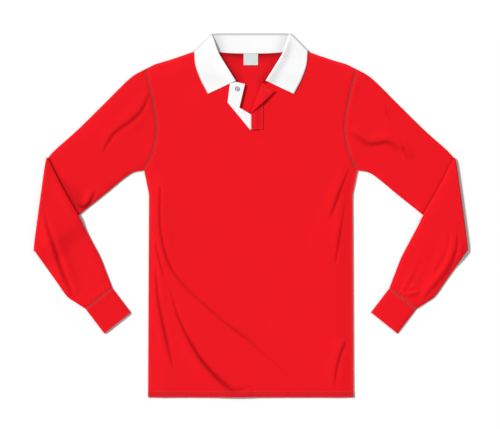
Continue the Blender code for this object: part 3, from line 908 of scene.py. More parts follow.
def uneven_group():
    inputs = (
        ("Place", "Vector", None), ("Colour", "Color", (1, 1, 1, 1)), ("Height", "Float", 0.5),
        ("Clouds", "Float", 0.05), ("Flecks", "Float", 0.06), ("Wear", "Float", 0.0),
        ("Rubbed", "Float", 0.015), ("Hollow", "Float", 0.0), ("ShadeStrength", "Float", 0.34),
    )
    return shader_group("dye_and_painted_shade", inputs, ("Colour", "Color"), uneven_colour)


def dye_and_painted_shade(tree, colour, place, **inputs):
    """A colour as the uneven dye and the painted shade give it at a place, with more of the group's inputs
    fed.
    """
    inputs = {"Colour": (*colour, 1), "Place": place, **inputs}
    return add_node(tree, "Group", inputs, node_tree=uneven_group()).outputs["Colour"]


def plain_material(name, colour, roughness):
    """New material with its Principled shader set, and that shader."""
    material = bpy.data.materials.new(name)
    material.use_nodes = True
    shader = material.node_tree.nodes["Principled BSDF"]
    feed(material.node_tree, shader, {"Base Color": (*colour, 1), "Roughness": roughness})
    return material, shader


def cloth_material(name, colour, weave, scale, depth, sheen=0.15, roughness=0.85, clouds=0.05):
    """Cloth with a woven or knitted height, an uneven dye with painted shade, and a soft sheen. Built once
    for each name.
    """
    if name in bpy.data.materials:
        return bpy.data.materials[name]
    material, shader = plain_material(name, colour, roughness)
    tree = material.node_tree
    place = add_node(tree, "UVMap", {}, uv_map="cloth").outputs["UV"]
    height = add_node(tree, "Group", {"Place": place, **scale}, node_tree=weave).outputs["Height"]
    # the second mask holds painted shade, which darkens the colour
    wear, painted_shade = (add_node(tree, "Attribute", {}, attribute_name=mask).outputs["Fac"]
                    for mask in ("wear", "painted_shade"))
    dye = dye_and_painted_shade(tree, colour, place, Clouds=clouds, Height=height, Wear=wear, Hollow=painted_shade)
    bump = add_node(tree, "Bump", {"Strength": 0.5, "Distance": depth, "Height": height})
    feed(tree, shader, {
        "Base Color": dye,
        "Normal": bump.outputs["Normal"],
        "Roughness": node_math(tree, "MULTIPLY_ADD", height, 0.1, roughness - 0.05),
        "Sheen Weight": sheen,
        "Sheen Roughness": 0.5,
        "Sheen Tint": (*colour, 1),
        "Specular IOR Level": 0.05,
    })
    return material


def red_jersey():
    return cloth_material("jersey_knit", colours().red, knit_group(), {"Wale": 0.0011, "Course": 0.00085},
                          0.00025)


def red_rib():
    return cloth_material("rib_knit", colours().red, knit_group(), {"Wale": 0.0014, "Course": 0.001}, 0.0003)


def white_cotton():
    return cloth_material("cotton_twill", colours().white, twill_group(), {"Pitch": 0.0008}, 0.00015,
                          clouds=0.015)


def label_cloth():
    return cloth_material("label_weave", colours().label, twill_group(), {"Pitch": 0.0005}, 0.0001,
                          sheen=0.3, roughness=0.6, clouds=0.01)


def thread_material(name, colour):
    """Twisted sewing thread: fine slanting lines along each stitch."""
    return cloth_material(name, colour, twill_group(), {"Pitch": 0.0003}, 0.00005, sheen=0.25, roughness=0.6)


# Stitches

def rod_faces(count):
    """Faces of some rods, each with its rings of points one after the other."""
    rings = len(ROD_PROFILE)
    last = (rings - 1) * ROD_SIDES
    faces = []
    for k in range(ROD_SIDES):
        after = (k + 1) % ROD_SIDES
        for low in range(0, last, ROD_SIDES):
            faces.append((low + k, low + after, low + after + ROD_SIDES, low + k + ROD_SIDES))
    faces.append(tuple(reversed(range(ROD_SIDES))))
    faces.append(tuple(last + k for k in range(ROD_SIDES)))
    each = rings * ROD_SIDES
    return [tuple(n * each + k for k in face) for n in range(count) for face in faces]


def rods(starts, ends, radius):
    """Thread rods with narrow ends, one from each start to its end, as points, faces and lie."""
    starts = np.asarray(starts, float)
    ways = np.asarray(ends, float) - starts
    lengths = np.linalg.norm(ways, axis=1, keepdims=True)
    ways = ways / lengths
    over = np.cross((0.0, 0.0, 1.0), ways)
    over = over / np.linalg.norm(over, axis=1, keepdims=True)
    up = np.cross(ways, over)
    verts = []
    lie = []
    for place, size in ROD_PROFILE:
        middle = starts + ways * lengths * place
        for turn in np.arange(ROD_SIDES) * 2 * pi / ROD_SIDES:
            verts.append(middle + (over * cos(turn) + up * sin(turn) * ROD_FLATNESS) * radius * size)
            lie.append(np.column_stack((lengths[:, 0] * place, np.full(len(starts), turn * radius))))
    verts = np.stack(verts, axis=1)
    lie = np.stack(lie, axis=1)
    return verts.reshape(-1, 3), rod_faces(len(starts)), lie.reshape(-1, 2)


def stitch_count(path, pitch):
    """How many stitches fit on a path."""
    return int(step_lengths(path).sum() / pitch)


def running_stitches(path):
    """Starts and ends of a row of stitches along a path."""
    spots = even_points(path, 2 * max(stitch_count(path, sizes().stitches / MM), 1))
    middle = spots[1::2]
    half = (spots[2::2] - spots[:-2:2]) * STITCH_SHARE / 2
    return middle - half, middle + half


def zigzag_stitches(path):
    """Starts and ends of the flatlock stitches that go to and fro across a seam."""
    spots = even_points(path, max(stitch_count(path, FLATLOCK_PITCH), 2))
    over = np.cross((0.0, 0.0, 1.0), np.gradient(spots, axis=0))
    over = over / np.linalg.norm(over, axis=1, keepdims=True)
    sides = np.where(np.arange(len(spots)) % 2, 1.0, -1.0)[:, None]
    corners = spots + over * sides * FLATLOCK_HALF
    return corners[:-1], corners[1:]


def sewn_rows(lines, level, lift, spans=60):
    """Rows of stitches along flat lines, some way above a surface whose height is given."""
    flats = [even_points(line, spans) for line in lines]
    return [running_stitches(np.column_stack((flat, level(*flat.T) + lift))) for flat in flats]


def make_stitches(name, rows, material, radius=STITCH_RADIUS):
    """One piece of all the stitches of some rows, given by their starts and ends."""
    starts = np.vstack([row[0] for row in rows])
    ends = np.vstack([row[1] for row in rows])
    verts, faces, lie = rods(starts, ends, radius)
    piece = make_piece(name, verts, faces, material, uv=lie)


# Body

def panel(side, centre, neck, side_spans):
    """Half of a body panel: hem, centre edge, neck and shoulder, side seam and armhole."""
    shoulder = even_points(SHOULDER_POINTS, SHOULDER_SPANS)
    top = mirrored(np.vstack((neck, shoulder[1:])), side)
    hem = even_points(((0.0, HEM_Y), (side * HEM_HALF, HEM_Y)), len(top) - 1)
    flank = np.vstack((even_points(SIDE_POINTS, side_spans)[:-1], round_points(ARMHOLE, ARMHOLE_SPANS)))
    return patch(hem, top, centre, mirrored(flank, side))


def joined_halves(right, left, shared_rows):
    """Flat points and quads of two half panels that share the first points of their centre edge."""
    rows, columns = right.shape[:2]
    ids_right = np.arange(rows * columns).reshape(rows, columns)
    ids_left = ids_right + rows * columns
    flat = np.vstack((right.reshape(-1, 2), left.reshape(-1, 2)))
    ids_left[:shared_rows, 0] = ids_right[:shared_rows, 0]
    quads = np.vstack((grid_quads(ids_right), grid_quads(ids_left)[:, ::-1]))
    used, back = np.unique(quads, return_inverse=True)
    return flat[used], back.reshape(quads.shape)


def body_wear(flat):
    """Rubbing of a panel along its side seams, shoulders and hem."""
    return np.maximum(bell(edge_distance(*flat.T), WEAR_RUN), bell(flat[:, 1] - HEM_Y, HEM_WEAR_RUN))


def from_roll(x, y):
    """Distance from the line at which the collar rolls over, on either side of the neck."""
    return distance_to(FRONT_RUNGS[:, 0:2], np.abs(x), y)


def neck_shade(flat):
    """Painted shade on the back inside the neck opening: darkest right below the collar's stand and beside
    the folded-back corner of the placket, and less further in."""
    below = np.abs(flat[:, 1] - seam_point(BACK_RUNGS[-1])[1])
    flap = distance_to(np.array((FLAP_LOW, FLAP_HIGH)), *flat.T)
    # painted shade: soft from the roll and the stand, and a narrow painted shadow below the stand and beside
    # the corner
    wide = bell(np.minimum(from_roll(*flat.T), below), NECK_SHADE_RUN)
    return wide + NECK_DARK * bell(np.minimum(below, flap), NECK_DARK_RUN)


def front_detail(x, y):
    """Distance from a place on the front to its nearest crease, seam or hem line, seams counting less."""
    armhole = distance_to(ARMHOLE_POINTS, np.abs(x), y)
    hem = np.abs(y - HEM_Y - HEM_BAND)
    more, times = SEAM_COUNTS
    return np.minimum(crease_gap(FRONT_CREASES, x, y), more + times * np.minimum(armhole, hem))


def make_front():
    """Front, with its neckline and its open slit."""
    neck = np.array([seam_point(rung) for rung in round_rows(COLLAR_FRONT, NECK_SPANS)])
    low = even_points(((0.0, HEM_Y), (0.0, SLIT_END_Y)), SIDE_SPANS + ARMHOLE_SPANS - SLIT_SPANS)
    halves = []
    for side, slit in ((1, SLIT_EDGE_RIGHT), (-1, SLIT_EDGE_LEFT)):
        edge = even_points(np.vstack((slit, mirrored(neck[:1], side))), SLIT_SPANS)
        halves.append(panel(side, np.vstack((low[:-1], edge)), neck, SIDE_SPANS))
    flat, quads = joined_halves(*halves, len(low))
    flat, faces = finer(flat, quads, front_detail)
    level, painted_shade = front_relief(*flat.T)
    front = level_wall("front_cloth", flat, faces, level, wall(), red_jersey(), body_wear(flat), painted_shade)
    as_cloth(front, "front")


def make_back():
    """Back, which the neck opening shows the inside of."""
    neck = np.array([seam_point(rung) for rung in round_rows(COLLAR_BACK[::-1], NECK_SPANS)])
    neck[-1] = SHOULDER_POINTS[0]
    low = even_points(((0.0, HEM_Y), (0.0, UNDERARM[1])), BACK_SIDE_SPANS)
    high = even_points(((0.0, UNDERARM[1]), (0.0, neck[0][1])), ARMHOLE_SPANS)
    centre = np.vstack((low[:-1], high))
    halves = [panel(side, centre, neck, BACK_SIDE_SPANS) for side in (1, -1)]
    flat, quads = joined_halves(*halves, len(centre))
    x, y = flat.T
    start, run = BACK_CALM
    rise = seam_rise(x, y) * smooth((y - HEM_Y - start) / run)
    level = back_level(x, y) + hidden_height(FRONT_CREASES, -x, y) * rise
    back = level_wall("back_cloth", flat, quads, level, wall(), red_jersey(), body_wear(flat),
                      neck_shade(flat))
    as_cloth(back, "back")


class ShirtBody(bpy.types.Operator):
    """Front and back of the body"""

    bl_idname = "shirt.body"
    bl_label = "Body"

    def execute(self, context):
        make_front()
        make_back()
        return {"FINISHED"}


# Sleeves

def sleeve_profile(share):
    """How full the flattened sleeve is at a share of the way across."""
    return np.sqrt(np.maximum(1 - np.abs(2 * share - 1) ** EDGE_POWER, 0))


def across_shares(spans):
    """Shares of the way across, even but for more points near the two edges."""
    fine = np.array(EDGE_SHARES)
    return np.sort(np.concatenate((np.linspace(0, 1, spans + 1), fine, 1 - fine)))


def across(points, shares):
    """Points at shares of the way along evenly spaced points."""
    even = np.linspace(0, 1, len(points))
    return np.column_stack([np.interp(shares, even, points[:, k]) for k in range(2)])


def tube_rows(lines, shares, place):
    """Outer and inner rings of a flattened tube over some lines across it. shares are those of its two
    layers. place gives the points of one line for offsets from the tube's middle, on the layer whose sign
    it gets: 1 for the one that faces up at the shoulder."""
    skins = []
    for skin in (0.0, wall()):
        rings = []
        for row, line in enumerate(lines):
            width = np.linalg.norm(line[-1] - line[0])
            layers = []
            for sign, places in zip((1, -1), shares):
                squeezed = 0.5 + (places - 0.5) * (1 - 2 * skin / width)
                offset = sign * sleeve_profile(places) * (SLEEVE_HALF - skin)
                layers.append(place(row, across(line, squeezed), offset, places, sign))
            rings.append(np.vstack((layers[0], layers[1][-2:0:-1])))
        skins.append(np.array(rings))
    return skins


def forearm_level(flat, start, end):
    """Height of the forearm's middle: on the upper arm, and down to the surface beyond its lower edge."""
    beyond = (flat - start) @ unit(left_of(start - end))
    high = 3 * SLEEVE_HALF + GAP
    return high - (high - SLEEVE_HALF) * smooth((beyond - FOREARM_REST) / FOREARM_DESCENT)


def layer_folds(creases, x, y, in_sight):
    """Height of a sleeve's creases: the drawn ones in sight, and soft ones on the hidden layer."""
    if in_sight:
        return crease_height(creases, x, y, sizes().crease)[0] + swell(x, y)
    return hidden_height(creases, x, y)


def off_line(line, x, y, reach):
    """0 on a line across the sleeve, and 1 beyond the reach on either side of it."""
    return smooth(distance_to(line, x, y) / reach)


class SleeveShape:
    """Lines of one sleeve on the surface, and the heights of its two arms."""

    def __init__(self, side, creases):
        self.outward = unit(left_of(np.array(ELBOW_LOW) - ELBOW_TOP))
        self.radius = SLEEVE_HALF + GAP / 2
        reach = self.radius + SLEEVE_HALF
        self.side = side
        self.creases = creases
        self.elbow = np.array((ELBOW_TOP, ELBOW_LOW)) - self.outward * reach
        self.cuff = np.array((CUFF_INNER, CUFF_OUTER))
        self.axis = even_points(self.elbow, SLEEVE_LINE)
        self.inner_edge = round_points((self.elbow[0], *FOREARM_INNER, CUFF_INNER), FOREARM_SPANS)

    def upper_arm(self):
        """Lines across the upper arm, from the armhole to the elbow."""
        armhole = round_points(ARMHOLE, SLEEVE_LINE)[::-1] + np.array((SEAM_GAP, 0))
        top = round_points((armhole[0], *SLEEVE_TOP, self.elbow[0]), UPPER_SPANS)
        under = round_points((armhole[-1], *SLEEVE_UNDER, self.elbow[1]), UPPER_SPANS)
        return patch(armhole, self.axis, top, under)

    def forearm(self):
        """Lines across the forearm, from the elbow to the cuff."""
        outer = round_points((self.elbow[1], *FOREARM_OUTER, CUFF_OUTER), FOREARM_SPANS)
        return patch(self.axis, even_points(self.cuff, SLEEVE_LINE), self.inner_edge, outer)

    def place_upper(self, row, flat, offset, shares, sign):
        """Points of the upper arm: flat on the surface, and level with the body at the armhole."""
        x, y = flat.T
        gap = distance_to(ARMHOLE_POINTS, x, y)
        full = sleeve_profile(shares)
        armhole_calm, elbow_calm = UPPER_CALM
        level = SLEEVE_HALF + offset
        folds = layer_folds(self.creases, self.side * x, y, sign > 0)
        folds = folds * off_line(self.elbow, x, y, elbow_calm)
        if sign > 0:
            skin = SLEEVE_HALF - offset.max()
            join = 1 - smooth(gap / ARMHOLE_JOIN)
            level = level + join * (front_base(x, y) + wall() / 2 - skin - level)
            level = level + seam_dip(gap, shares * ARMHOLE_LENGTH, sizes().seam / MM) * full
            start, run = FOREARM_CLEAR
            folds = folds * smooth((-run_distance(self.inner_edge, x, y)[0] - start) / run)
        level = level + full * folds * smooth(gap / armhole_calm)
        return np.column_stack((self.side * x, y, level))

    def place_elbow(self, angle):
        """Function that places the points of one line turned about the elbow by an angle."""
        def place(row, flat, offset, shares, sign):
            spot = flat + self.outward * ((self.radius - offset) * sin(angle))[:, None]
            height = SLEEVE_HALF + self.radius - (self.radius - offset) * cos(angle)
            return np.column_stack((self.side * spot[:, 0], spot[:, 1], height))
        return place

    def place_forearm(self, row, flat, offset, shares, sign):
        """Points of the forearm, upside down: on the upper arm, and then on the surface."""
        x, y = flat.T
        full = sleeve_profile(shares)
        elbow_calm, cuff_calm = FOREARM_CALM
        level = forearm_level(flat, np.array(SLEEVE_UNDER[0]), self.elbow[1]) - offset
        gap = distance_to(self.cuff, x, y)
        folds = layer_folds(self.creases, self.side * x, y, sign < 0)
        level = level + full * off_line(self.elbow, x, y, elbow_calm) * folds * smooth(gap / cuff_calm)
        if sign < 0:
            shift, often = GATHER_SHIFT
            wave = np.sin(2 * pi * shares * sizes().folds + shift * np.sin(often * shares))
            gather = GATHER_HEIGHT * wave * np.exp(-gap / GATHER_RUN) * smooth(gap / GATHER_START)
            dip = seam_dip(gap, shares * CUFF_SEAM, CUFF_SEAM_SHARE * sizes().seam / MM)
            level = level + full * (gather + dip)
        return np.column_stack((self.side * x, y, level))


def sleeve_painted_shade(shape, outer, upper_rows, top_points):
    """Painted shade on the sleeve: in its creases, and on the upper arm beside the folded forearm. outer has
    the upper arm's rows first, and the points of the top layer first in each."""
    painted_shade = crease_height(shape.creases, outer[..., 0], outer[..., 1])[1]
    beside = run_distance(shape.inner_edge, shape.side * outer[..., 0], outer[..., 1])[0]
    # painted shadow on the upper arm beside the folded forearm
    fold = bell(beside, FOLD_SHADE_RUN)
    fold[upper_rows:] = 0.0
    painted_shade = np.maximum(painted_shade, fold)
    painted_shade[:, top_points:] = 0.0
    return painted_shade


def make_sleeve(word, side):
    """Sleeve of one side: the upper arm, the turns about the elbow, and the forearm, in one tube."""
    shape = SleeveShape(side, SLEEVE_CREASES[word])
    shares = across_shares(TOP_ACROSS), across_shares(UNDER_ACROSS)
    upper = shape.upper_arm()
    parts = [(upper, shape.place_upper)]
    for step in range(1, ELBOW_TURNS):
        parts.append(([shape.axis], shape.place_elbow(pi * step / ELBOW_TURNS)))
    parts.append((shape.forearm(), shape.place_forearm))
    tubes = [tube_rows(lines, shares, place) for lines, place in parts]
    outer = np.concatenate([tube[0] for tube in tubes])
    inner = np.concatenate([tube[1] for tube in tubes])
    rows, columns = outer.shape[:2]
    lie = np.stack(np.meshgrid(length_along(outer[rows // 3]), length_along(outer.mean(axis=1))), axis=-1)
    bend = bell(np.arange(rows) - len(upper) - ELBOW_TURNS / 2, ELBOW_TURNS / 3)
    wear = np.repeat(bend[:, None], columns, axis=1)
    painted_shade = sleeve_painted_shade(shape, outer, len(upper), len(shares[0]))
    piece = swept_wall("sleeve_cloth_" + word, outer, inner, red_jersey(), lie, True, wear, painted_shade)
    as_cloth(piece, "sleeve_" + word)


class ShirtSleeves(bpy.types.Operator):
    """Two sleeves, each folded over at the elbow"""

    bl_idname = "shirt.sleeves"
    bl_label = "Sleeves"

    def execute(self, context):
        make_sleeve("right", 1)
        make_sleeve("left", -1)
        return {"FINISHED"}


def make_cuff(word, side):
    """Ribbed cuff of one side, a flattened tube."""
    down = np.array(CUFF_END_INNER) - np.array(CUFF_INNER)
    length = np.linalg.norm(down)
    start = np.array((CUFF_INNER, CUFF_OUTER)) + down / length * SEAM_GAP
    end = np.array((CUFF_END_INNER, CUFF_END_OUTER))
    steps = np.arange(CUFF_SPANS + 1) / CUFF_SPANS
    lines = [even_points(start + (end - start) * step, CUFF_LINE) for step in steps]
    shares = np.linspace(0, 1, CUFF_ACROSS + 1)

    def place(row, flat, offset, shares, sign):
        edge = min(row, CUFF_SPANS - row) * length / CUFF_SPANS
        ribs = sizes().rib / MM * np.cos(2 * pi * CUFF_RIBS * shares)
        level = SLEEVE_HALF + offset
        if sign > 0:
            level = level + sleeve_profile(shares) * (ribs - CUFF_PINCH * bell(edge, CUFF_PINCH_RUN))
        return np.column_stack((side * flat[:, 0], flat[:, 1], level))

    outer, inner = tube_rows(lines, (shares, shares), place)
    rows, columns = outer.shape[:2]
    lie = np.stack(np.meshgrid(np.linspace(0, CUFF_ROUND, columns), np.linspace(0, length, rows)), axis=-1)
    edge = np.minimum(np.arange(rows), rows - 1 - np.arange(rows))
    wear = CUFF_WEAR * np.repeat(bell(edge, CUFF_WEAR_ROWS)[:, None], columns, axis=1)
    piece = swept_wall("cuff_cloth_" + word, outer, inner, red_rib(), lie, ring=True, wear=wear)
    as_cloth(piece, "cuff_" + word)


class ShirtCuffs(bpy.types.Operator):
    """Two ribbed cuffs"""

    bl_idname = "shirt.cuffs"
    bl_label = "Cuffs"

    def execute(self, context):
        make_cuff("right", 1)
        make_cuff("left", -1)
        return {"FINISHED"}


# Collar

def collar_section(rung, side, turn, lift):
    """Outer and inner points of the folded collar at one rung, turned about its length from front to back.
    lift is how far it stands up where it rolls over."""
    cloth = wall()
    stand_offset = (cloth + GAP) / 2
    fall_offset = 3 * stand_offset
    neck_middle = 2 * (cloth + GAP) - GAP / 2
    roll = rung[0:2]
    fall = np.linalg.norm(rung[2:4] - roll)
    along = unit(rung[2:4] - roll)
    on_stand = rung[4] * np.linspace(1, 0, STAND_SPANS + 1)
    angles = pi * np.arange(1, ROLL_SPANS) / ROLL_SPANS
    on_fall = fall * np.linspace(0, 1, FALL_SPANS + 1) ** FALL_CROWDING
    top = fall_offset + lift
    sections = []
    for skin in (cloth / 2, -cloth / 2):
        half = (top - stand_offset) / 2 + skin
        over_roll = -min(half, cloth + skin) * np.sin(angles)
        distance = np.concatenate((on_stand, over_roll, on_fall))
        offset = np.concatenate((
            np.full(len(on_stand), stand_offset - skin),
            (stand_offset + top) / 2 - half * np.cos(angles),
            fall_offset + skin + lift * bell(on_fall, COLLAR_ROLL_RUN),
        ))
        flat = roll + along * distance[:, None]
        front = front_base(*flat.T) - stand_offset
        level = front + (neck_middle - front) * (1 - cos(turn)) / 2
        flat = flat + left_of(along) * (offset * sin(turn))[:, None]
        sections.append(np.column_stack((side * flat[:, 0], flat[:, 1], level + offset * cos(turn))))
    return sections


def collar_painted_shade(outer, turns):
    """Painted shade on the collar: on its stand near the roll, along its pressed edges and where it turns.
    """
    painted_shade = STAND_SHADE * bell(from_roll(outer[..., 0], outer[..., 1]), STAND_SHADE_RUN)
    painted_shade[:, STAND_SPANS + 1:] = 0.0
    # painted shade along the pressed edges, the roll and the line where the collar starts to turn
    pressed = np.sin(turns)
    pressed[[len(FRONT_RUNGS) - 1, -len(FRONT_RUNGS)]] = COLLAR_TURN_SHADE
    painted_shade += COLLAR_EDGE_SHADE * pressed[:, None]
    painted_shade[turns > 0, STAND_SPANS:STAND_SPANS + ROLL_SPANS] = COLLAR_EDGE_SHADE
    painted_shade[:, -1] = COLLAR_EDGE_SHADE
    return painted_shade


class ShirtCollar(bpy.types.Operator):
    """White fold-over collar"""

    bl_idname = "shirt.collar"
    bl_label = "Collar"

    def execute(self, context):
        shares = np.linspace(0, 1, len(FRONT_RUNGS))
        lifts = COLLAR_ROLL * (1 - smooth((shares - COLLAR_ROLL_SHARE) / (1 - COLLAR_ROLL_SHARE)))
        half = [(rung, 0.0, lift) for rung, lift in zip(FRONT_RUNGS, lifts)]
        half += [(FRONT_RUNGS[-1], pi * step / COLLAR_TURNS, 0.0) for step in range(1, COLLAR_TURNS)]
        half += [(rung, pi, 0.0) for rung in BACK_RUNGS]
        sections = [collar_section(rung, 1, turn, lift) for rung, turn, lift in half]
        sections += [collar_section(rung, -1, turn, lift) for rung, turn, lift in reversed(half[:-1])]
        outer = np.array([section[0] for section in sections])
        inner = np.array([section[1] for section in sections])
        columns = outer.shape[1]
        along = length_along(outer[:, columns // 2])
        lie = np.stack(np.meshgrid(np.linspace(0, COLLAR_DEPTH, columns), along), axis=-1)
        turns = np.array([turn for _, turn, _ in half])
        painted_shade = collar_painted_shade(outer, np.concatenate((turns, turns[-2::-1])))
        piece = swept_wall("collar_cloth", outer, inner, white_cotton(), lie, painted_shade=painted_shade)
        as_cloth(piece, "collar")
        return {"FINISHED"}


# Plackets

def inside_outline(outline, spacing, cuts=()):
    """Flat piece inside an outline, cut into cells by lines at even spacing, and along more lines."""
    sheet = bmesh.new()
    sheet.faces.new([sheet.verts.new((x, y, 0)) for x, y in outline])
    points = np.array(outline)
    lines = list(cuts)
    for normal in np.eye(2):
        reach = points @ normal
        places = np.arange(reach.min() + spacing, reach.max(), spacing)
        lines += [(normal * place, normal) for place in places]
    for spot, normal in lines:
        everything = sheet.verts[:] + sheet.edges[:] + sheet.faces[:]
        bmesh.ops.bisect_plane(sheet, geom=everything, dist=0.001, plane_co=(*spot, 0),
                               plane_no=(*normal, 0))
    return flat_triangles(sheet)


def under_level(x, y):
    """Height of the middle of the under placket, which lies a little loose."""
    wave_x, wave_y = UNDER_WAVES
    return above_front(x, y, 0) + UNDER_LOOSE * (1 + np.sin(np.asarray(y) / wave_y + np.asarray(x) / wave_x))


def over_level(x, y):
    """Height of the middle of the over placket's lower layer."""
    step = smooth((x - OVER_STEP[0]) / (OVER_STEP[1] - OVER_STEP[0]))
    return above_front(x, y, 1) - step * (wall() + GAP)


def folded_placket(flat):
    """Position and normal of the over placket's points, whose top corner is folded back along a line."""
    radius = (wall() + GAP) / 2
    beyond_line = np.maximum((flat - FLAP_LOW) @ FLAP_BEYOND, 0.0)
    crease = flat - FLAP_BEYOND * beyond_line[:, None]
    angle = np.minimum(beyond_line / radius, pi)
    shift = radius * np.sin(angle) - np.maximum(beyond_line - pi * radius, 0.0)
    spot = crease + FLAP_BEYOND * shift[:, None]
    start, run = FLAP_SETTLE
    lift = FLAP_LIFT * smooth(beyond_line / FLAP_RISE) * smooth(1 - (beyond_line - start) / run)
    height = over_level(*crease.T) + radius * (1 - np.cos(angle)) + lift
    normal = np.column_stack((-np.sin(angle)[:, None] * FLAP_BEYOND, np.cos(angle)))
    return np.column_stack((spot, height)), normal


def placket_outline():
    """Outline of the over placket as it is cut, with its top corner not yet folded back, and cuts at which
    it bends."""
    arc = pi * (wall() + GAP) / 2
    tip = np.array(FLAP_TIP) - FLAP_LOW
    cut_tip = FLAP_LOW + FLAP_WAY * (tip @ FLAP_WAY) + FLAP_BEYOND * (arc - tip @ FLAP_BEYOND)
    lower = ((PLACKET_FRONT_X, PLACKET_LOW_Y), (PLACKET_SEAM_X, PLACKET_LOW_Y))
    spots = [FLAP_LOW + FLAP_BEYOND * arc * step / FLAP_SPANS for step in range(FLAP_SPANS + 1)]
    return (*lower, FLAP_HIGH, cut_tip, FLAP_LOW), [(spot, FLAP_BEYOND) for spot in spots]


class ShirtPlackets(bpy.types.Operator):
    """White under placket and red over placket, which is folded back at its top"""

    bl_idname = "shirt.plackets"
    bl_label = "Plackets"

    def execute(self, context):
        flat, faces = inside_outline(PLACKET_UNDER, PLACKET_CELL)
        under = level_wall("placket_under_cloth", flat, faces, under_level(*flat.T), wall(), white_cotton())
        as_cloth(under, "placket_under")

        corners, cuts = placket_outline()
        flat, faces = inside_outline(corners, PLACKET_CELL, cuts)
        middle, normal = folded_placket(flat)
        verts = np.vstack((middle + normal * wall() / 2, middle - normal * wall() / 2))
        over = make_piece("placket_over_cloth", verts, thick_faces(faces, len(flat)), red_jersey(),
                          uv=np.vstack((flat, flat)))
        as_cloth(over, "placket_over")
        return {"FINISHED"}


# Button and label

def button_material():
    """Moulded button: satin, with a faint mottle and fine rubbing."""
    material, shader = plain_material("moulded_button", colours().button, 0.38)
    tree = material.node_tree
    place = add_node(tree, "TexCoord", {}).outputs["Object"]
    noise = add_node(tree, "TexNoise", {"Scale": 1400.0, "Vector": place}).outputs["Fac"]
    bump = add_node(tree, "Bump", {"Strength": 0.2, "Distance": 0.00005, "Height": noise})
    feed(tree, shader, {
        "Base Color": dye_and_painted_shade(tree, colours().button, place, Clouds=0.08),
        "Normal": bump.outputs["Normal"],
        "Roughness": node_math(tree, "MULTIPLY_ADD", noise, 0.2, 0.3),
    })
    return material


class ShirtButton(bpy.types.Operator):
    """Finish of the button, and the thread that holds it"""

    bl_idname = "shirt.button"
    bl_label = "Button"

    def execute(self, context):
        finish = button_material()
        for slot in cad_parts["button"].material_slots:
            slot.material = finish
        low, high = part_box("button")
        middle = (Vector(low) + Vector(high)) / 2 / MM
        top = high[2] / MM - BUTTON_WELL
        starts = [(middle.x - BUTTON_HOLES, middle.y - sign * BUTTON_HOLES, top) for sign in (1, -1)]
        ends = [(middle.x + BUTTON_HOLES, middle.y + sign * BUTTON_HOLES, top) for sign in (1, -1)]
        thread = thread_material("white_thread", colours().white)
        make_stitches("button_thread", [(starts, ends)], thread, BUTTON_THREAD)
        return {"FINISHED"}


def label_level(x, y):
    """Height of the middle of the label, which bulges a little between its stitched ends."""
    away = (LABEL_Y[1] - y) / (LABEL_Y[1] - LABEL_Y[0])
    bulge = LABEL_BULGE * smooth(away) * (1 + np.cos(x / LABEL_WAVE)) / 2
    return back_level(x, y) + wall() / 2 + GAP + LABEL_WALL / 2 + bulge


class ShirtLabel(bpy.types.Operator):
    """Plain woven label inside the back neck"""

    bl_idname = "shirt.label"
    bl_label = "Neck label"

    def execute(self, context):
        low, high = LABEL_Y
        corners = ((-LABEL_HALF, low), (LABEL_HALF, low), (LABEL_HALF, high), (-LABEL_HALF, high))
        flat, faces = inside_outline(corners, LABEL_CELL)
        label = level_wall("neck_label_cloth", flat, faces, label_level(*flat.T), LABEL_BUILT * LABEL_WALL,
                           label_cloth())
        as_cloth(label, "neck_label")
        return {"FINISHED"}


# Stitches of each piece

def hem_rows():
    """Two rows of stitches that hold the turned-up hem."""
    reach = HEM_HALF - HEM_ROW_INSET
    lines = [((-reach, HEM_Y + up), (reach, HEM_Y + up)) for up in HEM_ROWS]
    return sewn_rows(lines, front_level, wall() / 2, 400)


def armhole_row(side):
    """Stitches that cover the seam between the body and a sleeve."""
    x, y = round_points(ARMHOLE, 120)[1:].T
    level = front_level(x - FLATLOCK_HALF, y) + wall() / 2 + FLATLOCK_LIFT
    return zigzag_stitches(np.column_stack((side * (x + SEAM_GAP / 2), y, level)))


def cuff_row(side):
    """Stitches that cover the seam between a sleeve and its cuff."""
    shares = np.linspace(*CUFF_ROW, 60)
    x, y = across(np.array((CUFF_INNER, CUFF_OUTER)), shares).T
    level = SLEEVE_HALF * (1 + sleeve_profile(shares)) - CUFF_ROW_DEPTH
    return zigzag_stitches(np.column_stack((side * x, y, level)))


def over_placket_rows():
    """Stitches round the over placket, up to where its corner is folded back."""
    low = PLACKET_LOW_Y + PLACKET_INSET
    left = PLACKET_FRONT_X + PLACKET_INSET
    right = PLACKET_SEAM_X - PLACKET_INSET
    corners = ((left, low), (right, low))
    sides = [(corner, (corner[0], end)) for corner, end in zip(corners, OVER_ROW_ENDS)]
    return sewn_rows((corners, *sides), over_level, wall() / 2 + STITCH_LIFT)


def label_rows():
    """Stitches at the two sides of the label."""
    in_side, in_low, in_high = LABEL_INSET
    low, high = LABEL_Y
    places = [side * (LABEL_HALF - in_side) for side in (-1, 1)]
    lines = [((place, low + in_low), (place, high - in_high)) for place in places]
    return sewn_rows(lines, label_level, LABEL_BUILT * LABEL_WALL / 2 + STITCH_LIFT)


def neck_row():
    """Stitches on the stand of the collar, just above the back neck seam."""
    rungs = BACK_RUNGS[NECK_ROW_START:]
    points = [rung[0:2] + unit(rung[2:4] - rung[0:2]) * (rung[4] - NECK_ROW_UP) for rung in rungs]
    line = np.vstack((points, mirrored(points, -1)[::-1][1:]))
    level = back_level(*line.T) + wall() / 2 + FLATLOCK_LIFT
    return running_stitches(np.column_stack((line, level)))


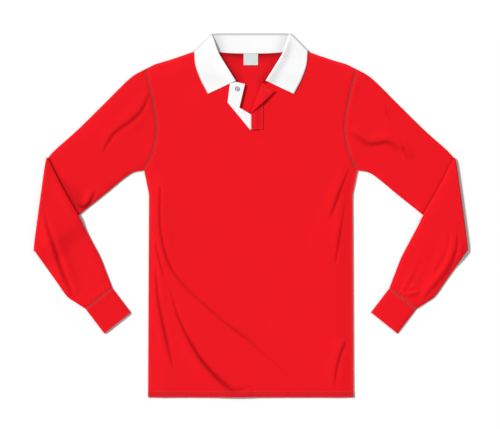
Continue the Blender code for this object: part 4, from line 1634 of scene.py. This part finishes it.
def buttonhole_row():
    """Close bars on both sides of the slit of the buttonhole, across the folded-back corner."""
    middle = np.array(from_photo(*BUTTONHOLE))
    way = unit(np.array(FLAP_TIP) - FLAP_HIGH)
    beside = left_of(way)
    places = np.linspace(-0.5, 0.5, BUTTONHOLE_BARS) * BUTTONHOLE_LENGTH
    starts = []
    ends = []
    for sign in (1, -1):
        spots = middle + way * places[:, None] + beside * sign * BAR_AT
        level = over_level(*spots.T) + 1.5 * wall() + GAP + FLAP_LIFT + STITCH_LIFT
        starts.append(np.column_stack((spots - beside * BAR_HALF, level)))
        ends.append(np.column_stack((spots + beside * BAR_HALF, level)))
    bars = middle + way * np.array((-END_BAR_AT, END_BAR_AT))[:, None] * BUTTONHOLE_LENGTH
    starts.append(np.column_stack((bars - beside * END_BAR_HALF, level[:2])))
    ends.append(np.column_stack((bars + beside * END_BAR_HALF, level[:2])))
    return np.vstack(starts), np.vstack(ends)


class ShirtStitches(bpy.types.Operator):
    """Stitches of the seams, the hem, the plackets and the label, and the buttonhole"""

    bl_idname = "shirt.stitches"
    bl_label = "Stitches"

    def execute(self, context):
        seam = thread_material("seam_thread", colours().thread)
        white = thread_material("white_thread", colours().white)
        armhole = [armhole_row(side) for side in (1, -1)]
        cuff = [cuff_row(side) for side in (1, -1)]
        under = sewn_rows(UNDER_ROWS, under_level, wall() / 2 + STITCH_LIFT)
        make_stitches("hem_stitches", hem_rows(), seam)
        make_stitches("armhole_stitches", armhole, seam, FLATLOCK_RADIUS)
        make_stitches("cuff_stitches", cuff, seam, FLATLOCK_RADIUS)
        make_stitches("placket_over_stitches", over_placket_rows(), seam)
        make_stitches("placket_under_stitches", under, white)
        make_stitches("label_stitches", label_rows(), white)
        make_stitches("neck_stitches", [neck_row()], white)
        make_stitches("buttonhole_stitches", [buttonhole_row()], seam)
        return {"FINISHED"}


# Stage

def on_stage(name, data):
    """Object of the stage, in the scene."""
    made = bpy.data.objects.new(name, data)
    bpy.context.scene.collection.objects.link(made)
    return made


def make_floor():
    """Wide pale floor without a shine."""
    material, shader = plain_material("pale_floor", colours().floor, 0.9)
    tree = material.node_tree
    place = add_node(tree, "TexCoord", {}).outputs["Object"]
    dye = dye_and_painted_shade(tree, colours().floor, place, Clouds=0.004, Flecks=0.004, Height=0.8)
    feed(tree, shader, {"Base Color": dye, "Specular IOR Level": 0.0})
    mesh = bpy.data.meshes.new("floor")
    corners = [(x * FLOOR_REACH, y * FLOOR_REACH, 0) for x, y in ((-1, -1), (1, -1), (1, 1), (-1, 1))]
    mesh.from_pydata(corners, [], [(0, 1, 2, 3)])
    mesh.materials.append(material)
    on_stage("floor", mesh)


def make_light(scene):
    """Soft sun from the upper left, and a pale sky."""
    light = bpy.data.lights.new("key_light", "SUN")
    light.energy = LIGHT_STRENGTH
    light.angle = radians(12)
    key = on_stage("key_light", light)
    key.location = LIGHT_PLACE
    key.rotation_euler = (-key.location).to_track_quat("-Z", "Y").to_euler()
    world = bpy.data.worlds.new("studio")
    world.use_nodes = True
    sky = {"Color": (1.0, 1.0, 1.0, 1.0), "Strength": SKY_STRENGTH}
    feed(world.node_tree, world.node_tree.nodes["Background"], sky)
    scene.world = world
    scene.view_settings.view_transform = "Standard"
    scene.view_settings.look = "None"


def make_camera(scene):
    """Camera straight above the middle of the photo, as far away as its lens needs."""
    lens = bpy.data.cameras.new("camera")
    lens.lens = LENS
    lens.clip_end = 20.0
    camera = on_stage("camera", lens)
    away = PHOTO_SIZE[0] * PIXEL * MM * lens.lens / lens.sensor_width
    x, y = from_photo(PHOTO_SIZE[0] / 2, PHOTO_SIZE[1] / 2)
    camera.location = (x * MM, y * MM, away)
    scene.camera = camera


class ShirtStage(bpy.types.Operator):
    """Pale floor, soft light and the camera straight above"""

    bl_idname = "shirt.stage"
    bl_label = "Stage"

    def execute(self, context):
        make_floor()
        make_light(context.scene)
        make_camera(context.scene)
        return {"FINISHED"}


class ShirtPanel(bpy.types.Panel):
    """Steps and settings of the shirt"""

    bl_idname = "SHIRT_PT_steps"
    bl_label = "Football shirt"
    bl_space_type = "VIEW_3D"
    bl_region_type = "UI"
    bl_category = "Shirt"

    def draw(self, context):
        layout = self.layout
        for step in STEPS:
            layout.operator(step.bl_idname)
        for group in (context.scene.shirt_sizes, context.scene.shirt_colours):
            for name in group.bl_rna.properties.keys():
                if name not in ("rna_type", "name"):
                    layout.prop(group, name)


STEPS = (ShirtBody, ShirtSleeves, ShirtCuffs, ShirtCollar, ShirtPlackets, ShirtButton, ShirtLabel,
         ShirtStitches, ShirtStage)
CLASSES = (ShirtSizes, ShirtColours, *STEPS, ShirtPanel)


def register():
    for cls in CLASSES:
        bpy.utils.register_class(cls)
    bpy.types.Scene.shirt_sizes = PointerProperty(type=ShirtSizes)
    bpy.types.Scene.shirt_colours = PointerProperty(type=ShirtColours)


def unregister():
    del bpy.types.Scene.shirt_colours
    del bpy.types.Scene.shirt_sizes
    for cls in reversed(CLASSES):
        bpy.utils.unregister_class(cls)


def main():
    register()
    for step in STEPS:
        group, name = step.bl_idname.split(".")
        getattr(getattr(bpy.ops, group), name)()


if __name__ == "__main__":
    main()
